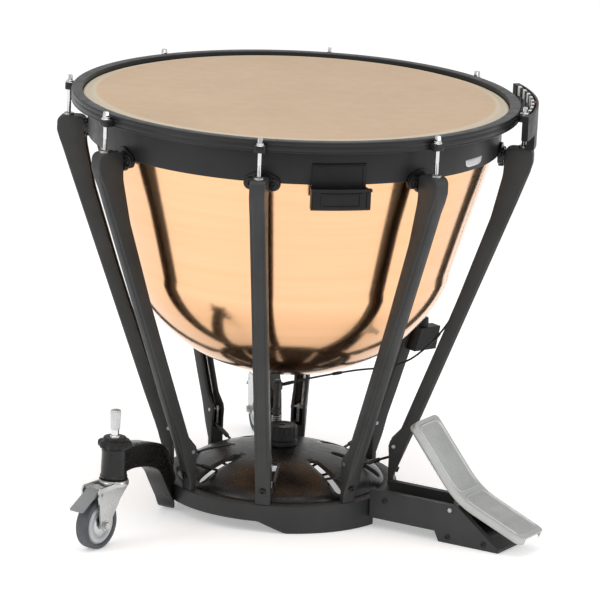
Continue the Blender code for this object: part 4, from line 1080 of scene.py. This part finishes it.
# %% The knob
KNOB_FLUTES, FLUTE_DEPTH = 18, 0.0022
knob_rows = [(0.0064, 0.1197), (0.0296, 0.1197), (0.0306, 0.1207), (0.0306, 0.1290), (0.0285, 0.1302),
             (0.0285, 0.1312), (0.0308, 0.1324), (0.0310, 0.1400), (0.0310, 0.1540), (0.0300, 0.1580),
             (0.0278, 0.1597), (0.0180, 0.1597), (0.0165, 0.1588), (0.0064, 0.1588)]
flute_of = np.array([0, 0, 0, 0, 0, 0, 0.4, 1, 1, 0.3, 0, 0, 0, 0])
knob_a = np.arange(288) * TAU / 288
rows = np.array(knob_rows)
wave = np.abs(np.cos(knob_a * KNOB_FLUTES / 2)) ** 3
radius = rows[:, :1] - FLUTE_DEPTH * flute_of[:, None] * wave
knob_points = np.stack([AXIS[0] + radius * np.cos(knob_a), AXIS[1] + radius * np.sin(knob_a),
                        np.broadcast_to(rows[:, 1:], radius.shape)], axis=-1)
make("fluted_knob", [sheet_of(knob_points, rows_meet=True)], moulded_black, "tension_knob", ["tension_knob"])
print("knob flutes:", KNOB_FLUTES)

# %% [markdown]
# ## Tuning gauge
# The gauge tells the player the note. A curved case hangs outside the hoop with a slot along its
# top; a red pointer travels in the slot past white note tabs. The case is a softened copy of its
# solid, and each tab is a small rounded tile that follows the case's curve.

# %% Case and pointer
softened("gauge_case", "gauge_housing", moulded_black, "stand", 0.0009)
softened("gauge_marker", "gauge_pointer", pointer_red, "pointer", 0.0003)
print("gauge case and pointer softened")

# %% A curved tile
def tile(azimuth, half, r_low, r_high, low, high):
    """A tile of ring between two radii, as a slab in (radius, sideways) moved up from low to high."""
    place = radial(azimuth)
    corner = 0.0006
    plan = np.vstack([arc((x, y), corner, a, a + 90, 3) for x, y, a in
                      ((r_high - corner, half - corner, 0), (r_low + corner, half - corner, 90),
                       (r_low + corner, corner - half, 180), (r_high - corner, corner - half, 270))])
    return slab(plan, low, high, lambda r, t, z: place(r, z, t))


print("a tile has", len(tile(0.0, 0.0058, 0.4672, 0.4710, 0.8400, 0.8447)[0]), "points")

# %% Nine note tabs, and a clip beside each
tab_parts, clip_parts = [], []
for k, azimuth in enumerate(np.linspace(-74.5, -42.5, 9)):
    tab_parts.append(tile(azimuth, 0.0058, 0.4672, 0.4710, 0.8400, 0.8447))
    tab_parts.append(tile(azimuth, 0.0058, 0.4652, 0.4669, 0.8260, 0.8447))
    clip_parts.append(tile(azimuth + 2.0, 0.0022, 0.4658, 0.4669, 0.8150, 0.8420))
make("note_tabs", tab_parts, tab_white, "stand", (), bevel=0.0002)
make("tab_rail", clip_parts, moulded_black, "stand", (), bevel=0.0002)
print("note tabs:", len(tab_parts) // 2)

# %% [markdown]
# ## Gauge cable
# A thin sheathed cable carries the pedal's travel to the gauge. It is held at both ends, so it is
# part of the drum and not a loose cord. Its line is a smooth curve through a few chosen points,
# and a round bar is carried along it.

# %% The cable
CABLE_ROUTE = [(0.0440, 0.0300, 0.2280), (0.1050, -0.0060, 0.2360), (0.1800, -0.0560, 0.2440),
               (0.2340, -0.1180, 0.2540), (0.2440, -0.1740, 0.2900), (0.2420, -0.2400, 0.3700),
               (0.2380, -0.3000, 0.5000), (0.2330, -0.3480, 0.6300), (0.2310, -0.3800, 0.7200),
               (0.2310, -0.3960, 0.7800), (0.2327, -0.4022, 0.8060)]
CABLE_R = 0.0020
route = even_line(smooth_line(CABLE_ROUTE, 20), 170) + np.array([AXIS[0], AXIS[1], 0])
make("gauge_cable_sheath", [tube(route, CABLE_R, 12)], cable_black, "stand", ["gauge_cable"])
length = np.linalg.norm(np.diff(route, axis=0), axis=1).sum()
print("gauge cable", round(float(length), 3), "m")

# %% Ferrules on the cable
def ferrule(at, length, radius):
    """A sleeve that follows the cable for a stretch, swelling in the middle."""
    start = int(at * len(route))
    stretch = route[start:start + length]
    swell = np.sin(np.linspace(0.25, math.pi - 0.25, len(stretch))) ** 0.35
    return tube(stretch, CABLE_R + (radius - CABLE_R) * swell, 14)


ferrules = [ferrule(0.0, 6, 0.0038), ferrule(0.13, 5, 0.0036), ferrule(0.40, 5, 0.0034),
            ferrule(0.94, 8, 0.0040)]
make("cable_ferrules", ferrules, cable_black, "stand", ())
print("ferrules:", len(ferrules))

# %% [markdown]
# ## Carrying handle and adjuster
# The handle is a moulded plate on the band with a tray under it, open at the top for the fingers,
# and ribbed on its face. Each part of it is an outline in radius and height, carried a few degrees
# round the drum. The adjuster is a small housing on one strut with a knurled knob; its solid is
# right in size, so a copy of it is softened.

# %% The handle's sections
HANDLE_FROM, HANDLE_TO = -144.6, -129.4
def arc_bar(outline, start, end, steps=24):
    """A closed (r, z) outline carried from one azimuth to another, with a flat end at each."""
    line = np.asarray(outline, float)
    rows = [radial(a)(line[:, 0], line[:, 1]) for a in np.linspace(start, end, steps + 1)]
    return capped(np.stack(rows))


plate = np.vstack([[(0.4103, 0.7400), (0.4146, 0.7400)], arc((0.4126, 0.7880), 0.0020, 0, 90, 4),
                   [(0.4103, 0.7900)]])
tray_corner = np.vstack([[(0.4103, 0.7035)], arc((0.4350, 0.7085), 0.0050, -90, 0, 6)])
tray = np.vstack([tray_corner, [(0.4400, 0.7440), (0.4345, 0.7440)],
                  arc((0.4315, 0.7115), 0.0030, 0, -90, 4),
                  [(0.4150, 0.7085), (0.4150, 0.7440), (0.4103, 0.7440)]])
cheek = np.vstack([tray_corner, [(0.4400, 0.7440), (0.4103, 0.7440)]])
lip = [(0.4350, 0.7405), (0.4432, 0.7405), (0.4440, 0.7415), (0.4440, 0.7450), (0.4430, 0.7462),
       (0.4350, 0.7462)]
print("handle spans", round(HANDLE_TO - HANDLE_FROM, 1), "degrees of the band")

# %% The handle, with ribs on its tray and a bead round its plate
handle = [arc_bar(plate, HANDLE_FROM + 0.25, HANDLE_TO - 0.25), arc_bar(tray, HANDLE_FROM, HANDLE_TO),
          arc_bar(cheek, HANDLE_FROM, HANDLE_FROM + 0.8, 3), arc_bar(cheek, HANDLE_TO - 0.8, HANDLE_TO, 3),
          arc_bar(lip, HANDLE_FROM - 0.15, HANDLE_TO + 0.15)]
tray_ribs = ((0.7070, 0.7405, -144.2, -143.5), (0.7100, 0.7390, -142.2, -141.6),
             (0.7100, 0.7390, -132.4, -131.8), (0.7070, 0.7405, -130.5, -129.8),
             (0.7100, 0.7140, -141.9, -132.1), (0.7345, 0.7385, -141.9, -132.1))
for low, high, start, end in tray_ribs:
    rib = [(0.4390, low), (0.4418, low + 0.0012), (0.4418, high - 0.0012), (0.4390, high)]
    handle.append(arc_bar(rib, start, end, 12))
side_bead = [(0.4140, 0.7480), (0.4160, 0.7488), (0.4160, 0.7862), (0.4140, 0.7870)]
for start, end in ((-143.9, -143.4), (-130.6, -130.1)):
    handle.append(arc_bar(side_bead, start, end, 3))
top_bead = [(0.4140, 0.7838), (0.4160, 0.7846), (0.4160, 0.7862), (0.4140, 0.7870)]
handle.append(arc_bar(top_bead, -143.9, -130.1))
make("carrying_handle", handle, moulded_black, "stand", ["carry_handle"], bevel=0.0005)
print("handle parts:", len(handle))

# %% The adjuster and its knurled knob
KNURLS = 16
softened("adjuster_case", "adjuster_box", moulded_black, "stand", 0.0012)
place = radial(-22.5)
knurl_a = np.arange(96) * TAU / 96
rows = np.array([(0.0, 0.0262), (0.0088, 0.0262), (0.0100, 0.0252), (0.0104, 0.0150), (0.0100, 0.0095),
                 (0.0, 0.0090)])
fade = np.array([0, 0, 1, 1, 1, 0])[:, None]
knurl_r = rows[:, :1] * (1 - 0.05 * fade * (0.5 + 0.5 * np.cos(knurl_a * KNURLS)))
knurl = np.stack([knurl_r * np.cos(knurl_a), knurl_r * np.sin(knurl_a),
                  np.broadcast_to(rows[:, 1:], knurl_r.shape)], axis=-1)
knurled_part = aimed(sheet_of(knurl), place(0.3260, 0.3250, -0.0300), (0, 0, 1))
make("adjuster_knob", [knurled_part], moulded_black, "stand", ())
print("knurls:", KNURLS)

# %% [markdown]
# ## Casters
# Each caster has a lobed hand wheel that raises the drum, a knurled stem cap, a swivelling zinc
# fork, a grey rubber wheel with a domed hub, and a brake lever. Everything is drawn once in the
# caster's own directions, along and across, and placed at each sleeve.

# %% A lobed ring
WHEEL_R, TRAIL = 0.0500, 0.0500
def lobed(rows, lobes, depth, centre, segments=192):
    """r(z, a) = outline radius - depth (1 + cos(lobes a)) / 2 on the rows that carry lobes."""
    table = np.array([(r, z) for r, z, _ in rows])
    weight = np.array([w for _, _, w in rows])[:, None]
    a = np.arange(segments) * TAU / segments
    r = table[:, :1] - depth * weight * (0.5 + 0.5 * np.cos(a * lobes)) ** 1.6
    x, y = AXIS[0] + centre[0] + r * np.cos(a), AXIS[1] + centre[1] + r * np.sin(a)
    return sheet_of(np.stack([x, y, np.broadcast_to(table[:, 1:], r.shape)], axis=-1), rows_meet=True)


print("road wheel", 2 * WHEEL_R, "m across, trailing", TRAIL, "m")

# %% Hand wheel, stem and stem cap
def hand_wheel(name, centre):
    """Eight lobes round a low dished wheel. A row is (radius, height, how much of the lobe it has)."""
    hand_rows = [(0.0106, 0.1945, 0), (0.0300, 0.1945, 0.8), (0.0328, 0.1965, 1), (0.0335, 0.2010, 1),
                 (0.0330, 0.2060, 1), (0.0300, 0.2085, 0.9), (0.0235, 0.2092, 0.1), (0.0228, 0.2105, 0),
                 (0.0226, 0.2135, 0), (0.0216, 0.2149, 0), (0.0180, 0.2149, 0), (0.0106, 0.2146, 0)]
    make(f"{name}_hand_wheel", [lobed(hand_rows, 8, 0.0042, centre)], moulded_black, f"{name}_handwheel",
         [f"caster_{name}_handwheel"], sharp=55)


def stem_and_cap(name, centre):
    """A turned stem. Its cap has 24 flutes: r = outline - depth weight (1 + cos 24a) / 2."""
    stem = [(0, 0.1160), (0.0056, 0.1160), (0.0060, 0.1165), (0.0060, 0.1318), (0.0098, 0.1320),
            (STEM_R, 0.1330), (STEM_R, 0.2160), (0.0094, 0.2172), (0.0078, 0.2180), (0.0078, 0.2310),
            (0, 0.2310)]
    make(f"{name}_stem_bar", [turned(stem, 40, centre)], chrome, f"{name}_stem", [f"caster_{name}_stem"])
    cap = np.array([(0.0, 0.2300, 0), (0.0086, 0.2300, 0), (0.0092, 0.2312, 0.5), (0.0094, 0.2340, 1),
                    (0.0106, 0.2650, 1), (0.0100, 0.2680, 0.3), (0.0084, 0.2690, 0), (0.0, 0.2690, 0)])
    a = np.arange(144) * TAU / 144
    r = cap[:, :1] - 0.0009 * cap[:, 2:] * (0.5 + 0.5 * np.cos(a * 24))
    cap_points = np.stack([AXIS[0] + centre[0] + r * np.cos(a), AXIS[1] + centre[1] + r * np.sin(a),
                           np.broadcast_to(cap[:, 1:2], r.shape)], axis=-1)
    make(f"{name}_stem_cap", [sheet_of(cap_points)], zinc, f"{name}_stem", (), sharp=60)


print("hand wheel and stem are ready to place")

# %% Fork and swivel
def swivel_fork(name, centre):
    """The softened fork, with the turned ball race and dust ring above it."""
    softened(f"{name}_fork_plate", f"caster_{name}_fork", zinc, f"{name}_fork", 0.0008)
    race = [(0.0070, 0.1190), (0.0262, 0.1175), (0.0285, 0.1190), (0.0300, 0.1215), (0.0300, 0.1262),
            (0.0285, 0.1284), (0.0266, 0.1300), (0.0070, 0.1302)]
    seal = [(0.0110, 0.1298), (0.0276, 0.1298), (0.0284, 0.1306), (0.0276, 0.1318), (0.0200, 0.1324),
            (0.0110, 0.1324)]
    make(f"{name}_swivel_race", [turned(race, 56, centre, ring=True)], zinc, f"{name}_fork", ())
    make(f"{name}_dust_ring", [turned(seal, 56, centre, ring=True)], moulded_black, f"{name}_fork", ())


print("fork and swivel are ready to place")

# %% Wheel
def mirrored(half):
    """Half an outline of (radius, width) points, then the same points at minus their width."""
    return np.array(half + [(r, -w) for r, w in half[::-1]])


def road_wheel(name, axle, side):
    """Tyre and rim, each half an outline mirrored across the wheel, and a hub disc on each face."""
    tyre = mirrored([(0.0395, 0.0110), (0.0410, 0.0132), (0.0435, 0.0140), (0.0468, 0.0136),
                     (0.0490, 0.0118), (0.0498, 0.0080), (0.0500, 0.0040)])
    rim = mirrored([(0.0052, 0.0138), (0.0110, 0.0138), (0.0150, 0.0122), (0.0225, 0.0112),
                    (0.0238, 0.0092), (0.0262, 0.0090), (0.0276, 0.0112), (0.0300, 0.0128),
                    (0.0345, 0.0130), (0.0368, 0.0118), (0.0380, 0.0096), (0.0396, 0.0094)])
    for part_name, outline, finish, slot in (("tyre", tyre, tyre_grey, "tyre_rubber"),
                                             ("rim", rim, rim_grey, "grey_plastic")):
        make(f"{name}_{part_name}", [aimed(local_turned(outline, 96, ring=True), axle, side)], finish,
             f"{name}_wheel", [f"caster_{name}_wheel"])
    hub = [(0.0050, 0.0137), (0.0095, 0.0141), (0.0150, 0.0136), (0.0192, 0.0122), (0.0215, 0.0110),
           (0.0050, 0.0108)]
    hubs = [aimed(local_turned(hub, 64, ring=True), axle, side * way) for way in (1, -1)]
    make(f"{name}_hub_discs", hubs, zinc, f"{name}_wheel", ())


print("tyre, rim and hub are ready to place")

# %% Axle nuts
def axle_nuts(name, axle, side):
    """A washer and a six-sided nut against the outer face of each fork leg."""
    face_out, nut_r = 0.0225, 0.0072
    hexagon = [(nut_r * math.cos(TAU * k / 6), nut_r * math.sin(TAU * k / 6)) for k in range(6)]
    washer = [(0.0040, 0.0002), (0.0094, 0.0002), (0.0096, 0.0012), (0.0040, 0.0014)]
    nut_parts = []
    for way in (1, -1):
        face = axle + side * way * face_out
        nut_parts.append(aimed(local_turned(washer, 28, ring=True), face, side * way))
        nut = slab(hexagon, 0.0014, 0.0068, lambda x, y, z: np.stack(np.broadcast_arrays(x, y, z), axis=-1))
        nut_parts.append(aimed(nut, face, side * way))
    make(f"{name}_axle_nuts", nut_parts, zinc, f"{name}_fork", (), bevel=0.0005)


print("axle nuts are ready to place")

# %% Both casters
for name, (centre, heading) in CASTERS.items():
    turn = math.radians(heading)
    ahead = np.array([math.cos(turn), math.sin(turn), 0.0])
    side = np.array([-math.sin(turn), math.cos(turn), 0.0])
    origin = np.array([AXIS[0] + centre[0], AXIS[1] + centre[1], 0.0])
    axle = origin + TRAIL * ahead + WHEEL_R * np.array([0, 0, 1.0])
    hand_wheel(name, centre)
    stem_and_cap(name, centre)
    swivel_fork(name, centre)
    road_wheel(name, axle, side)
    axle_nuts(name, axle, side)
    softened(f"{name}_brake_lever", f"caster_{name}_brake", grey_plastic, f"{name}_brake",
             0.0010)
print("casters:", len(CASTERS))

# %% [markdown]
# ## Parts left as solids
# The linkage under the dome is seen only in glimpses. Its solids have the right shape, so they
# stay, and each takes the plain steel finish in its material slots.

# %% Finish the linkage
LINKAGE = ("crosshead", "rocker", "pedal_rod")
for node in LINKAGE:
    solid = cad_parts[node]
    solid.data.materials.clear()
    solid.data.materials.append(plain_steel)
print("solids refinished:", len(LINKAGE))
